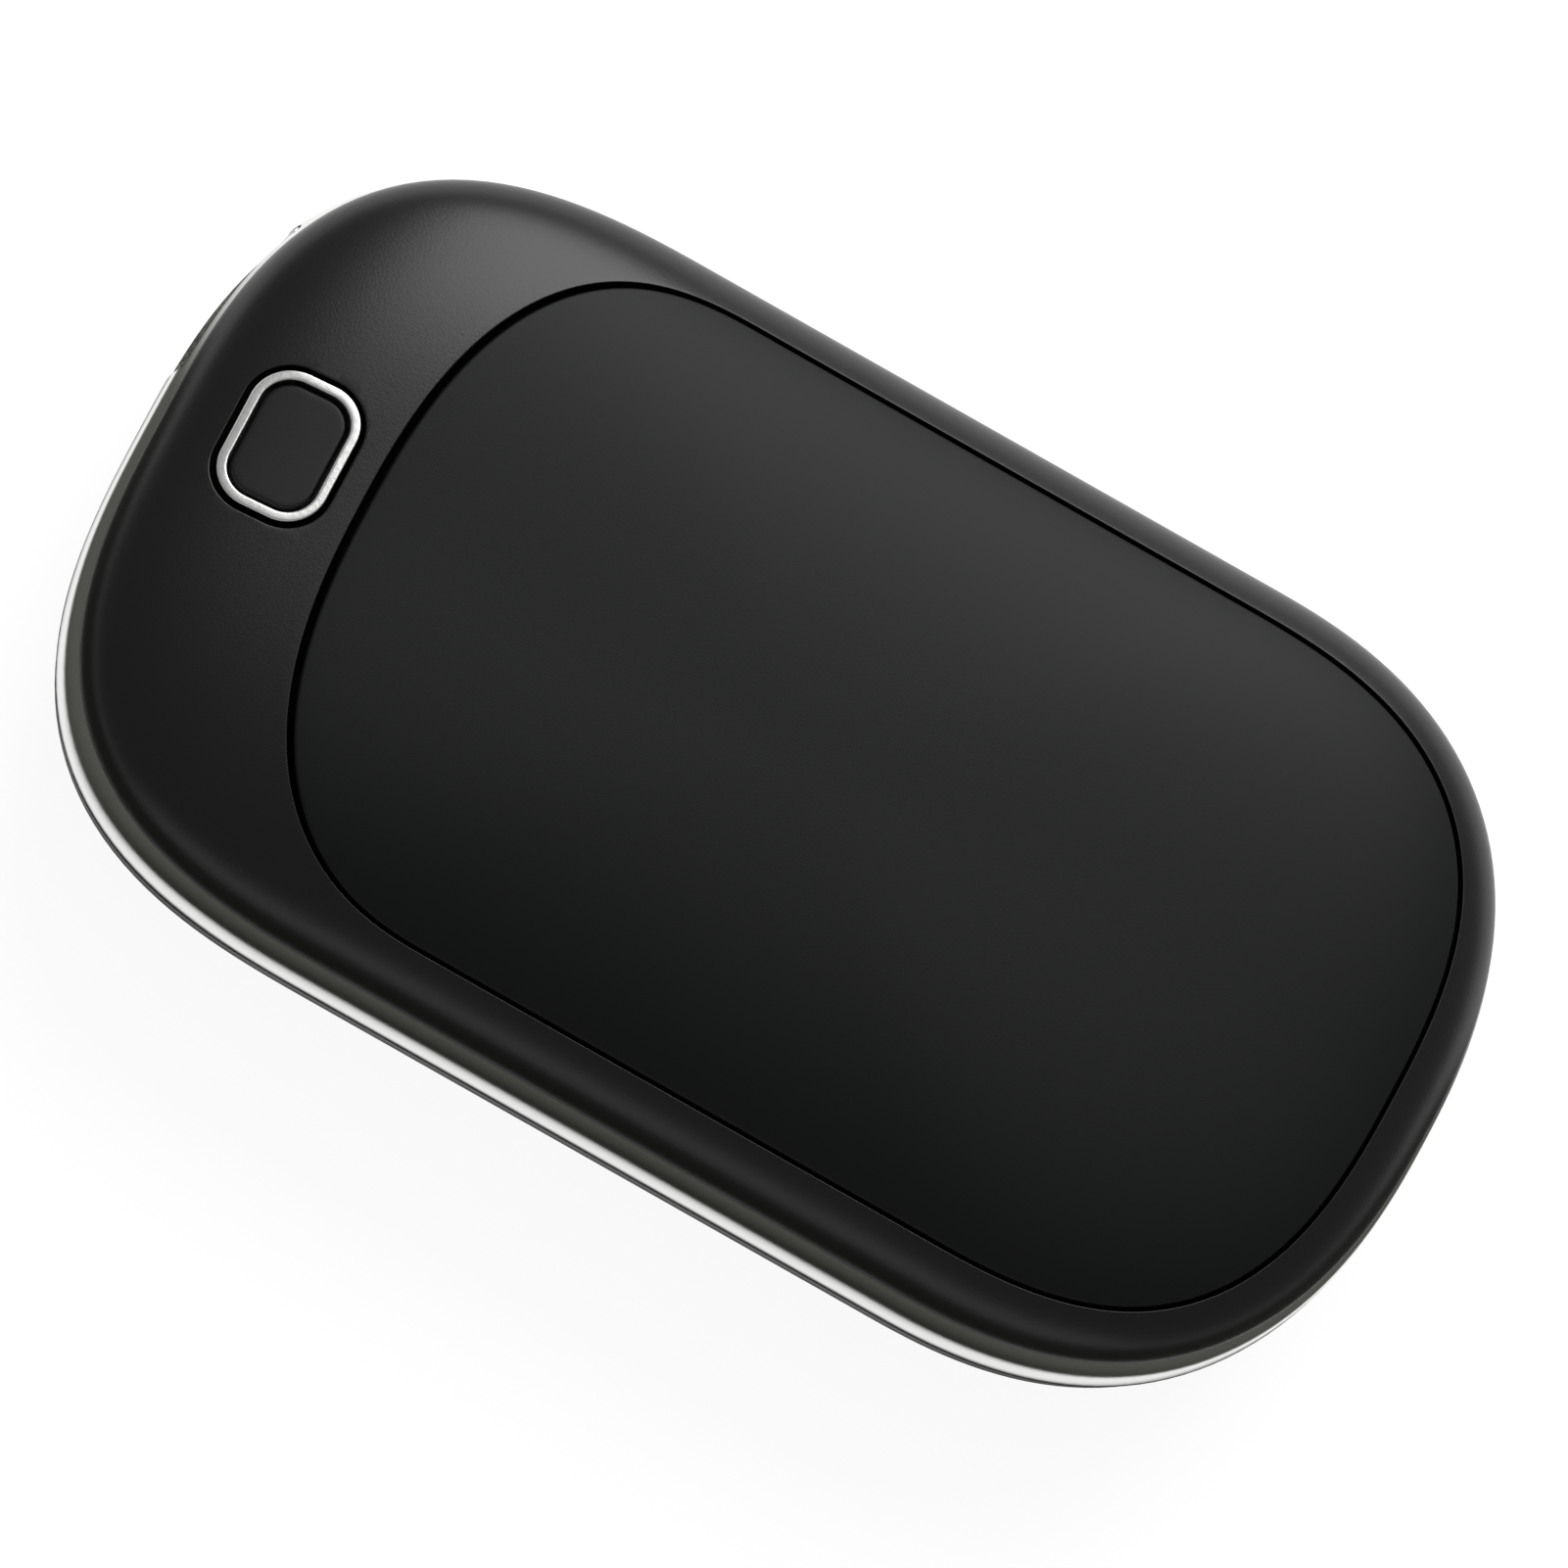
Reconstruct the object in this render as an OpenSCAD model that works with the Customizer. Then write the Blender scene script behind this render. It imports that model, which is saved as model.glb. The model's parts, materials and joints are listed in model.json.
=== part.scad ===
// Rechargeable pocket hand warmer: two moulded half shells, a chrome waist band,
// two curved heat plates, two round cells and a control board under one push button.
// The long axis is X with the button end at -X, the width is Y and the height is Z.
// The origin is under the middle of the body, on the flat that it rests on.

/* [Body] */
// Overall length over the band, along X
body_l = 104.2; // [98:0.2:116]
// Overall width over the band, along Y
body_w = 59.4; // [56:0.2:66]
// Overall height, along Z
body_h = 26; // [26:0.5:30]
// Length of the rounded button end
nose_len = 29.5; // [26:0.1:34]
// Squareness of the button end
nose_exp_share = 2.84; // [2.2:0.01:3.4]
// Length of the rounded tail end
tail_len = 27.7; // [25:0.1:34]
// Squareness of the tail end
tail_exp_share = 2.45; // [2.1:0.01:3.2]
// Squareness of the crowned faces
crown_exp_share = 2.5; // [2.2:0.05:3]
// Wall thickness at the rim of each shell
wall = 2.4; // [2.2:0.1:2.8]
// Height that the shells stand above the plates at full crown
shell_step = 0.15; // [0:0.05:0.3]

/* [Waist band] */
// Height of the band between the shells
band_h = 8; // [7:0.5:9]
// Thickness of the band at its middle
band_t = 1.7; // [1.5:0.1:1.8]
// How far the band stands out past the edges of the shells
band_proud = 0.5; // [0.4:0.05:0.7]
// How far the band draws in at its two edges
band_sag = 0.55; // [0.45:0.05:0.8]
// Visible seam above and below the band
band_seam = 0.1; // [0.05:0.01:0.2]

/* [Heat plates] */
// Distance from the side of the shell to the plate
plate_side_gap = 3.4; // [3.1:0.05:5]
// Sheet thickness of a heat plate
plate_t = 1; // [0.8:0.1:1.2]
// Bridge of shell between the button well and the plate's pocket
button_bridge = 1.9; // [1.6:0.05:3]
// Distance from the shell's tail end to the plate
plate_tail_gap = 3.9; // [3.7:0.1:6]
// How much nearer the middle the plate's button end starts to round than the body's
plate_nose_shift = 4.45; // [2:0.05:6]
// Squareness of that end
plate_nose_exp_share = 2.51; // [2.2:0.01:3]
// How much nearer the middle the plate's tail end starts to round than the body's
plate_tail_shift = 1.1; // [0:0.05:3]
// Squareness of that end
plate_tail_exp_share = 2.74; // [2.3:0.01:3.2]
// Gap round the plate
groove = 0.3; // [0.2:0.05:0.5]
// Wider gap at the button side of the plate
groove_nose = 0.55; // [0.4:0.05:0.8]
// Thickness of the adhesive tape under the plate's rim
tape_t = 0.4; // [0.2:0.05:0.5]
// Width of the ledge that carries the plate
ledge_w = 2.2; // [1.8:0.1:2.6]
// Thickness of the ledge
ledge_t = 1.2; // [0.8:0.1:1.5]
// Thickness of the heater film
film_t = 0.25; // [0.15:0.05:0.3]

/* [Button] */
// Distance from the button end to the well that the button sits in
button_margin = 4; // [3.7:0.05:5]
// How far the button lies to the side of the body's long axis
button_y = 1.3; // [0:0.1:1.5]
// Length of the key, along X
key_l = 6.1; // [5.5:0.1:6.4]
// Width of the key, along Y
key_w = 8.8; // [8:0.1:9.6]
// Corner radius of the key
key_r = 2.05; // [1.5:0.05:2.6]
// Gap between the key and the ring
key_gap = 0.3; // [0.2:0.01:0.35]
// Width of the chrome ring
ring_w = 0.7; // [0.5:0.05:0.9]
// Height that the ring stands above the shell
ring_proud = 0.3; // [0.1:0.05:0.5]
// Gap between the ring and the shell
ring_gap = 0.4; // [0.25:0.01:0.45]
// Travel of the key
key_travel = 0.4; // [0.2:0.05:0.5]
// Side of the square switch body
switch_w = 6; // [5:0.5:6.2]
// Height of the switch body
switch_body_h = 3.5; // [3:0.1:3.8]
// Diameter of the switch plunger
plunger_d = 3.4; // [3:0.1:3.5]

/* [Battery] */
// Thickness of the foam pads over the cells, which leaves the rest of the height to the cells
pad_t = 2.3; // [2.1:0.05:3]
// Room behind the cells, which with the bay leaves the rest of the length to them
tail_room = 14.1; // [13.5:0.1:16]
// Gap between the two cells
cell_gap = 0.4; // [0.2:0.1:0.6]
// Thickness of the shrink sleeve round the cells
sleeve_t = 0.15; // [0.1:0.05:0.2]
// Length of the electronics bay between the button end and the cells
bay_l = 24.1; // [23.7:0.1:25.5]

/* [Board and ports] */
// Thickness of the circuit board
board_t = 1; // [0.8:0.1:1.6]
// Width of the outlet port
outlet_w = 13.1; // [12.8:0.1:13.2]
// Height of the outlet port
outlet_h = 5.7; // [5.4:0.1:5.8]
// Depth of the outlet port
outlet_l = 13; // [12:0.5:13.5]
// Width of the charge port
charge_w = 7.5; // [7:0.1:7.8]
// Height of the charge port
charge_h = 2.5; // [2.3:0.1:2.8]
// Depth of the charge port
charge_l = 5.6; // [5:0.1:6]
// Sheet thickness of both port shells
port_t = 0.3; // [0.2:0.05:0.35]
// Gap between a port and its window in the band
port_gap = 0.25; // [0.2:0.05:0.3]

/* [Hidden] */

// Overrun of every cut past the face that it opens
over = 1;
// A quarter of a turn, in degrees
quarter = 90;
// Clearance between pieces that are placed side by side
fit = 0.05;
// Facets of round pieces
round_fn = 48;

// Steps round each quarter end, along each straight side, round and along a lead, and round a corner
end_steps = 12;
side_steps = 4;
lead_sides = 8;
lead_steps = 10;
corner_steps = 6;
// Steps of the shell's outer skin, of its inner skin and of the band's face
skin_steps = 8;
lining_steps = 5;
band_steps = 8;
// Halvings used when the body outline is met along a ray
ray_steps = 20;
// Squareness of the band's face
band_round_share = 8;

// Half sizes of the shells' rims, and heights of their crowns over the rims
waist_z = body_h/2;
half_l = body_l/2 - band_proud;
half_w = body_w/2 - band_proud;
plate_crown = body_h/2 - band_h/2;
shell_crown = plate_crown + shell_step;
lining_crown = plate_crown - plate_t - tape_t - ledge_t;

// Lip and tongue where the shells meet inside the band
band_in = band_t - band_proud;
lip_out = band_in + fit*2;
tongue_share = 0.4;
tongue_t = (wall - lip_out)*tongue_share;
tongue_h = 1;
lip_gap = fit;

// Plate grid: shares of the way from the plate's middle to its edge, and the tape's place on the ledge
well_out = key_gap + ring_w + ring_gap;
button_inset = button_margin + well_out + key_l/2;
plate_nose_gap = button_inset + key_l/2 + well_out + button_bridge + groove_nose;
plate_nose_len = nose_len - plate_nose_gap + plate_nose_shift;
plate_tail_len = tail_len - plate_tail_gap + plate_tail_shift;
plate_w = 2*(half_w - plate_side_gap);
plate_mid = [(plate_nose_gap - plate_tail_gap)/2, 0];
plate_edge_r = 0.3;
plate_shares = [0.33, 0.62, 0.86, 0.93, 1];
plate_lip_share = 0.985;
film_shares = [0.33, 0.62, 0.86];
pad_shares = [0.33, 0.62];
tape_shares = [0.1, 0.8];

// Button stack, as heights above the base, set by the crown over the well's front edge
button_x = button_inset - half_l;
well_x = button_margin - half_l;
key_post_d = 3;
key_post_l = 1.1;
key_flange_w = 0.4;
key_flange_t = 0.95;
key_edge = 0.35;
ring_foot_h = 0.6;
ring_foot_w = ring_gap - fit;
ring_round = 0.2;
ring_flat_shares = [0.25, 0.75];
seat_depth = 0.92;
ring_seat_z = waist_z + crown([well_x, button_y], 0, shell_crown) - seat_depth;
key_flange_z = ring_seat_z - fit - key_flange_t;
plunger_top = key_flange_z - key_post_l - fit;
collar_w = 1.1;
collar_drop = 0.3;
collar_z = key_flange_z - key_travel - collar_drop;
collar_h = 3.6;
charge_z = waist_z;
board_top = charge_z - charge_h/2;
board_under = board_top - board_t;
plunger_gap = 0.1;

// Cells and sleeve, which fill what the bay, the tail room, the plates and the pads leave
face_room = plate_t + film_t + pad_t + sleeve_t + 4*fit;
cell_d = body_h - 2*face_room;
cell_l = 2*half_l - bay_l - tail_room;
cell_y = (cell_d + cell_gap)/2;
cell_x = bay_l - half_l;
sleeve_r = cell_d/2 + fit + sleeve_t;
sleeve_over = 0.7;
terminal_d = 5.6;
terminal_h = 0.5;
crimp_at = 3.2;
crimp_w = 1.2;
crimp_in = 0.35;
strip_t = 0.2;
strip_w = 7;
weld_slot_l = 4;
weld_slot_w = 1;

// Outline of the board
board_gap = 1;
board_boss_gap = 0.27;
board_tab_back = 2;
board_tab_w = 29.6;

// Screw bosses: two beside the button end of the cells and two behind them
boss_r = 2.6;
boss_nose_back = 3.7;
boss_board_gap = 0.4;
boss_nose_y = board_tab_w/2 + boss_board_gap + boss_r;
boss_tail_back = 4.3;
boss_tail_y = 9;
boss_nose_x = cell_x - boss_nose_back;
boss_tail_x = half_l - plate_tail_gap - boss_tail_back;
BOSSES = [
  [boss_nose_x, boss_nose_y],
  [boss_nose_x, -boss_nose_y],
  [boss_tail_x, boss_tail_y],
  [boss_tail_x, -boss_tail_y]
];
screw_r = 1;
screw_head_r = 1.8;
screw_head_h = 1.4;
screw_seat = 5;
screw_l = 9;
screw_slack = 0.6;
slot_w = 0.5;
slot_h = 0.6;
slot_share = 0.65;

// Ribs of the lower shell that hold the cells sideways
rib_t = 1.4;
rib_low = 7;
rib_high = 1.5;
rib_gap = 0.15;
rib_shares = [0.2, 0.8];

// Surface inside the walls at which posts, bosses and the collar end
core_shares = [1, 0.97, 0.9, 0.75, 0.5];
core_share = 0.5;
core_bite = 0.5;

// Outlet port, beside the switch and flush with the band
outlet_side_gap = 0.35;
outlet_y = button_y + switch_w/2 + outlet_side_gap + outlet_w/2;
port_set = 0.05;
outlet_x = nose_edge(outlet_y + outlet_w/2, band_inset(outlet_h/2)) + port_set;
outlet_r = 0.5;
outlet_tongue_gap = 0.7;
outlet_tongue_w = outlet_w - 2*(port_t + outlet_tongue_gap);
outlet_tongue_t = 1.85;
outlet_tongue_l = 8.6;
outlet_tongue_up = 0.9;
outlet_back_l = 3;
contact_w = 1.1;
contact_t = 0.15;
contact_l = 6.5;
contact_shares = [-0.36, -0.12, 0.12, 0.36];
spring_w = 1.8;
spring_l = 4.2;
spring_set = 2.6;
spring_shares = [-0.24, 0.24];
ear_l = 2;
ear_w = 1.1;
ear_back = 10.2;

// Charge port, in the long side beside the front of the cells
charge_back = 0.5;
charge_x = cell_x + charge_back;
charge_y = side_edge(charge_x - charge_w/2, band_inset(charge_h/2)) - port_set;
charge_wing = 0.6;
charge_window_r = 0.4;
charge_taper = 0.8;
charge_side_share = 0.45;
charge_tongue_w = 3.6;
charge_tongue_t = 0.6;
charge_tongue_l = 3.4;
charge_back_l = 1.4;

// Tact switch
switch_floor = 0.6;
switch_room_h = 2.3;
switch_room_r = 2.4;
plunger_foot_r = 2.2;
plunger_foot_h = 0.8;
switch_pin_w = 0.7;
switch_pin_l = 0.6;
switch_pin_t = 0.3;
switch_pin_share = 0.36;

// Parts on the board
inductor_w = 6;
inductor_h = 3;
inductor_r = 0.8;
inductor_rim = 0.8;
inductor_back = 5;
inductor_side = 12;
inductor_x = button_x + inductor_back;
inductor_y = -inductor_side;
core_d = 4.6;
chip_l = 5;
chip_w = 6.2;
chip_h = 1.5;
chip_back = 5.6;
chip_side = 9.6;
chip_x = button_x + chip_back;
chip_y = -chip_side;
pin_w = 0.4;
pin_l = 0.9;
pin_t = 0.25;
pin_shares = [-0.39, -0.13, 0.13, 0.39];
tab_inset = 2;
tab_x = cell_x - board_tab_back - tab_inset;
cap_d = 3;
cap_h = 5;
cap_neck = 0.15;
cap_foot = 0.8;
cap_back = 6.4;
cap_side = 6;
cap_share = 0.4;
CAPS = [
  [button_x + cap_back, -cap_side],
  [tab_x, -board_tab_w*cap_share]
];
transistor_l = 1.6;
transistor_w = 2.9;
transistor_h = 1.1;
transistor_share = 0.27;
transistor_y = board_tab_w*transistor_share;
transistor_pin_l = 0.5;
transistor_pin_shares = [-0.33, 0.33];
led_l = 0.8;
led_w = 1.6;
led_h = 0.6;
led_step = 2.3;
led_back = 3.9;

// Posts of the board and their screws, set beside the parts that the board carries
post_r = 2.1;
post_screw_r = 0.75;
post_screw_l = 4.5;
post_head_r = 1.5;
post_head_h = 1;
post_gap = 0.8;
post_tab_share = 0.412;
POSTS = [
  [button_x, inductor_y],
  [inductor_x, inductor_y - inductor_w/2 - post_gap - post_head_r],
  [outlet_x + outlet_l + post_gap + post_r, board_tab_w*post_tab_share]
];

// Leads, as positions where they start and end
lead_gap = 0.15;
lead_inset = 1.7;
lead_x = cell_x - board_tab_back - lead_inset;
heater_lead_d = 1.2;
heater_lead_back = 1.6;
heater_lead_x = lead_x + heater_lead_back;
heater_lead_ys = [-2.4, -4.2];
battery_lead_d = 1.5;
positive_y = 4.5;
positive_strip_y = 6;
positive_up = 2.5;
negative_y = 1.2;
negative_clear = 3.1;
negative_bend = 2.9;
lead_drop = 5;
bead_d = 1;
bead_l = 2.2;
bead_back = 1.5;
bead_x = cell_x + bead_back;
bead_y = 3;
bead_lead_d = 0.8;

// A value between two others
function mix(a, b, t) = a + (b - a)*t;

// A point of a rounded end, from its side at 0 degrees to its tip at 90
function end_point(a, e, b, n) =
  let(k = pow(pow(abs(sin(a)), n) + pow(abs(cos(a)), n), 1/n))
  [e*sin(a)/k, b*cos(a)/k];

// Closed outline with two different rounded ends and straight sides, counterclockwise
function pebble(nose_x, nose_e, nose_n, tail_x, tail_e, tail_n, b) =
  let(cn = nose_e - nose_x, ct = tail_x - tail_e)
  concat(
    [for (i = [0:2*end_steps])
      let(p = end_point((2 - i/end_steps)*quarter, tail_e, b, tail_n)) [ct + p.x, p.y]],
    [for (j = [1:side_steps - 1]) [mix(ct, cn, j/side_steps), b]],
    [for (i = [0:2*end_steps])
      let(p = end_point(i/end_steps*quarter, nose_e, b, nose_n)) [cn - p.x, p.y]],
    [for (j = [1:side_steps - 1]) [mix(cn, ct, j/side_steps), -b]]
  );

// Outline of the shells drawn in by d
function rim(d) = pebble(
  half_l - d, nose_len - d, nose_exp_share,
  half_l - d, tail_len - d, tail_exp_share, half_w - d
);

// Where the button end of the outline drawn in by d lies at a distance y from the middle
function nose_edge(y, d) =
  nose_len - half_l - (nose_len - d)*pow(1 - pow(y/(half_w - d), nose_exp_share), 1/nose_exp_share);

// Where the side of the outline drawn in by d lies at a distance x along the button half
function side_edge(x, d) =
  let(along = max(0, nose_len - half_l - x)/(nose_len - d))
  (half_w - d)*pow(1 - pow(along, nose_exp_share), 1/nose_exp_share);

// How far the band's face lies inside the shells' outline at a height z from the waist
function band_inset(z) =
  band_sag*pow(abs(z)/(band_h/2 - band_seam), band_round_share) - band_proud;

// Outline of a plate grown by g, and by gn at its button side
function plate_loop(g, gn) = pebble(
  half_l - plate_nose_gap + gn, plate_nose_len + gn, plate_nose_exp_share,
  half_l - plate_tail_gap + g, plate_tail_len + g, plate_tail_exp_share, plate_w/2 + g
);
plate_edge = plate_loop(0, 0);
pocket_edge = plate_loop(groove, groove_nose);
ledge_edge = plate_loop(-ledge_w, -ledge_w);

// Whether a point lies inside the body outline drawn in by d
function inside(p, d) =
  let(
    len = p.x < 0 ? nose_len : tail_len,
    n = p.x < 0 ? nose_exp_share : tail_exp_share,
    along = max(0, abs(p.x) - half_l + len)/(len - d)
  )
  pow(along, n) + pow(abs(p.y)/(half_w - d), n) < 1;

// Distance from the middle to that outline along a unit ray, by halving
function reach(u, d, lo, hi, k) =
  let(m = (lo + hi)/2)
  k == 0 ? m : inside(u*m, d) ? reach(u, d, m, hi, k - 1) : reach(u, d, lo, m, k - 1);

// Share of the way from the middle to the outline drawn in by d
function gauge(p, d) =
  norm(p) == 0 ? 0 : min(1, norm(p)/reach(p/norm(p), d, 0, half_l + half_w, ray_steps));

// Height of a crowned face over the waist
function crown(p, d, h) =
  band_h/2 + h*pow(1 - pow(gauge(p, d), crown_exp_share), 1/crown_exp_share);

// Height of the ledge, of the inner skin and of the surface between them
function ledge_top(p) = crown(p, 0, plate_crown) - plate_t - tape_t;
function lining(p) = crown(p, wall, lining_crown);
function core(p) = mix(lining(p), ledge_top(p), core_share);

// Button outline grown by g, counterclockwise
function key_loop(g) = [for (c = [0:3]) for (i = [0:corner_steps])
  let(
    a = (c + i/corner_steps)*quarter,
    x = (c == 0 || c == 3 ? 1 : -1)*(key_l/2 - key_r),
    y = (c < 2 ? 1 : -1)*(key_w/2 - key_r)
  )
  [button_x + x + (key_r + g)*cos(a), button_y + y + (key_r + g)*sin(a)]];

// Point at t of the curve with ends a and d that leaves towards b and arrives from c
function bend(a, b, c, d, t) =
  a*pow(1 - t, 3) + 3*b*t*pow(1 - t, 2) + 3*c*t*t*(1 - t) + d*pow(t, 3);
function bend_path(a, b, c, d) =
  [for (k = [0:lead_steps]) bend(a, b, c, d, k/lead_steps)];

// A closed ring swept round the body: each station is one counterclockwise section
module swept_ring(stations) {
  n = len(stations);
  m = len(stations[0]);
  function at(i, j) = (i % n)*m + (j % m);
  polyhedron(
    points = [for (s = stations) each s],
    faces = [for (i = [0:n - 1]) for (j = [0:m - 1]) each [
      [at(i, j), at(i, j + 1), at(i + 1, j + 1)],
      [at(i, j), at(i + 1, j + 1), at(i + 1, j)]
    ]]
  );
}

// A solid skinned over rings from the bottom to the top and closed by two points
module skinned(rings, low, high) {
  n = len(rings[0]);
  m = len(rings);
  function at(k, i) = k*n + (i % n);
  polyhedron(
    points = concat([for (r = rings) each r], [low, high]),
    faces = concat(
      [for (k = [0:m - 2]) for (i = [0:n - 1]) each [
        [at(k, i), at(k + 1, i), at(k + 1, i + 1)],
        [at(k, i), at(k + 1, i + 1), at(k, i + 1)]
      ]],
      [for (i = [0:n - 1]) [m*n, at(0, i), at(0, i + 1)]],
      [for (i = [0:n - 1]) [m*n + 1, at(m - 1, i + 1), at(m - 1, i)]]
    )
  );
}

// Turns a piece of the upper half over into the lower half
module flipped() {
  translate([0, 0, 2*waist_z])
    mirror([0, 0, 1])
    children();
}

// Rounded rectangle round the origin
module rounded(l, w, r) {
  square([l - 2*r, w], center = true);
  square([l, w - 2*r], center = true);
  for (x = [-1, 1], y = [-1, 1]) {
    translate([x*(l/2 - r), y*(w/2 - r)])
      circle(r = r, $fn = round_fn);
  }
}

// Extrudes an outline of Y and Z along +X
module along_x(l) {
  rotate([90, 0, 90])
    linear_extrude(height = l)
    children();
}

// Upright prism of the button's outline grown by g
module button_prism(g, z0, z1) {
  translate([button_x, button_y, z0])
    linear_extrude(height = z1 - z0)
    rounded(key_l + 2*g, key_w + 2*g, key_r + g);
}

// Outline of two cells side by side
module cell_pair(r) {
  for (s = [-1, 1]) {
    translate([s*cell_y, 0])
      circle(r = r, $fn = 2*round_fn);
  }
  square([2*cell_y, 2*r], center = true);
}

// Wall, ledge and lip of a half shell, with a tongue or with the rebate for one
module shell_wall(male) {
  outer = rim(0);
  inner = rim(wall);
  step = rim(wall - tongue_t - (male ? 0 : 2*fit));
  lip = rim(lip_out);
  deep = waist_z + (male ? -tongue_h : tongue_h + 2*fit);
  swept_ring([for (i = [0:len(outer) - 1]) concat(
    [for (k = [0:skin_steps]) let(p = mix(outer[i], pocket_edge[i], pow(k/skin_steps, 2)))
      [p.x, p.y, waist_z + crown(p, 0, shell_crown)]],
    [for (p = [pocket_edge[i], ledge_edge[i]]) [p.x, p.y, waist_z + ledge_top(p)]],
    [for (k = [0:lining_steps]) let(p = mix(inner[i], ledge_edge[i], pow(1 - k/lining_steps, 2)))
      [p.x, p.y, waist_z + lining(p)]],
    [
      [inner[i].x, inner[i].y, deep],
      [step[i].x, step[i].y, deep],
      [step[i].x, step[i].y, waist_z + lip_gap],
      [lip[i].x, lip[i].y, waist_z + lip_gap],
      [lip[i].x, lip[i].y, waist_z + band_h/2]
    ]
  )]);
}

// Solid that ends inside the upper wall and trims what grows out of it
module wall_core() {
  edge = rim(wall - core_bite);
  skinned(
    concat(
      [[for (p = edge) [p.x, p.y, 0]]],
      [for (s = core_shares) [for (p = edge) [p.x*s, p.y*s, waist_z + core(p*s)]]]
    ),
    [0, 0, 0], [0, 0, waist_z + core([0, 0])]
  );
}

// Sets a piece of the charge port, drawn along +X from its mouth, into the long side
module at_charge_port() {
  translate([charge_x, charge_y, charge_z])
    rotate([0, 0, -quarter])
    children();
}

// Windows of the two ports through the band and the lips
module port_windows() {
  depth = half_l + button_x + over;
  translate([-half_l - over, outlet_y, waist_z])
    along_x(depth)
    rounded(outlet_w + 2*port_gap, outlet_h + 2*port_gap, outlet_r + port_gap);
  at_charge_port()
    translate([-over, 0, 0])
    along_x(charge_l + 2*over)
    rounded(charge_w + 2*port_gap, charge_h + 2*port_gap, charge_window_r);
}

// Upper half shell with the button's collar and the bosses that take the screws
module upper_shell() {
  color("#1c1d1d")
    difference() {
      union() {
        shell_wall(true);
        intersection() {
          union() {
            button_prism(well_out + collar_w, collar_z, collar_z + collar_h);
            for (b = BOSSES) {
              translate([b.x, b.y, waist_z + fit])
                cylinder(r = boss_r, h = body_h - waist_z, $fn = round_fn);
            }
          }
          wall_core();
        }
      }
      button_prism(well_out, ring_seat_z, body_h + over);
      button_prism(key_flange_w + 2*fit, collar_z - over, ring_seat_z + over);
      port_windows();
      for (b = BOSSES) {
        translate([b.x, b.y, waist_z - over])
          cylinder(r = screw_r + fit/2, h = over + screw_l - screw_seat + screw_slack, $fn = round_fn);
      }
    }
}

// Lower half shell with screw bosses, board posts and cell ribs
module lower_shell() {
  rib_y = cell_y + sleeve_r + rib_gap;
  color("#1c1d1d")
    difference() {
      union() {
        flipped() shell_wall(false);
        intersection() {
          union() {
            for (b = BOSSES) {
              translate([b.x, b.y, 0])
                cylinder(r = boss_r, h = waist_z - fit, $fn = round_fn);
            }
            for (p = POSTS) {
              translate([p.x, p.y, 0])
                cylinder(r = post_r, h = board_under, $fn = round_fn);
            }
            for (s = rib_shares, y = [rib_y, -half_w]) {
              translate([cell_x + cell_l*s - rib_t/2, y, waist_z - rib_low])
                cube([rib_t, half_w - rib_y, rib_low - rib_high]);
            }
          }
          flipped() wall_core();
        }
      }
      flipped() port_windows();
      for (b = BOSSES) {
        translate([b.x, b.y, 0])
          cylinder(r = screw_r + 2*fit, h = waist_z + over, $fn = round_fn);
        translate([b.x, b.y, 0])
          cylinder(r = screw_head_r + 2*fit, h = waist_z - screw_seat, $fn = round_fn);
      }
      for (p = POSTS) {
        translate([p.x, p.y, board_top - post_screw_l])
          cylinder(r = post_screw_r + fit/2, h = post_screw_l, $fn = round_fn);
      }
    }
}

// Chrome band set between the shells, barrelled outwards, with the port windows
module waist_band() {
  hz = band_h/2 - band_seam;
  faces = [for (k = [0:band_steps])
    let(z = hz*sin((2*k/band_steps - 1)*quarter)) [band_inset(z), waist_z + z]];
  loops = [for (f = faces) rim(f[0])];
  inner = rim(band_in);
  color("#d6d8da")
    difference() {
      swept_ring([for (i = [0:len(inner) - 1]) concat(
        [for (k = [0:band_steps]) [loops[k][i].x, loops[k][i].y, faces[k][1]]],
        [[inner[i].x, inner[i].y, waist_z + hz], [inner[i].x, inner[i].y, waist_z - hz]]
      )]);
      port_windows();
    }
}

// Ring of a plate's plan grid at share s, lifted by dz from a crown of height h
function plate_ring(s, h, dz) = [for (e = plate_edge) let(p = mix(plate_mid, e, s))
  [p.x, p.y, waist_z + crown(p, 0, h) + dz]];
function plate_point(h, dz) = [plate_mid.x, plate_mid.y, waist_z + crown(plate_mid, 0, h) + dz];
function last_first(v) = [for (k = [len(v) - 1:-1:0]) v[k]];

// Curved heat plate with an eased edge
module heat_plate(h) {
  skinned(
    concat(
      [for (s = plate_shares) plate_ring(s, h, -plate_t)],
      [plate_ring(1, h, -plate_edge_r), plate_ring(plate_lip_share, h, 0)],
      [for (s = last_first(film_shares)) plate_ring(s, h, 0)]
    ),
    plate_point(h, -plate_t), plate_point(h, 0)
  );
}

module upper_heat_plate() {
  color("#141516") heat_plate(plate_crown);
}

// The lower plate is a little fuller, so that its middle is cut flat to rest on
module lower_heat_plate() {
  color("#141516")
    difference() {
      flipped() heat_plate(shell_crown);
      translate([-half_l, -half_w, -over])
        cube([2*half_l, 2*half_w, over]);
    }
}

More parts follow.
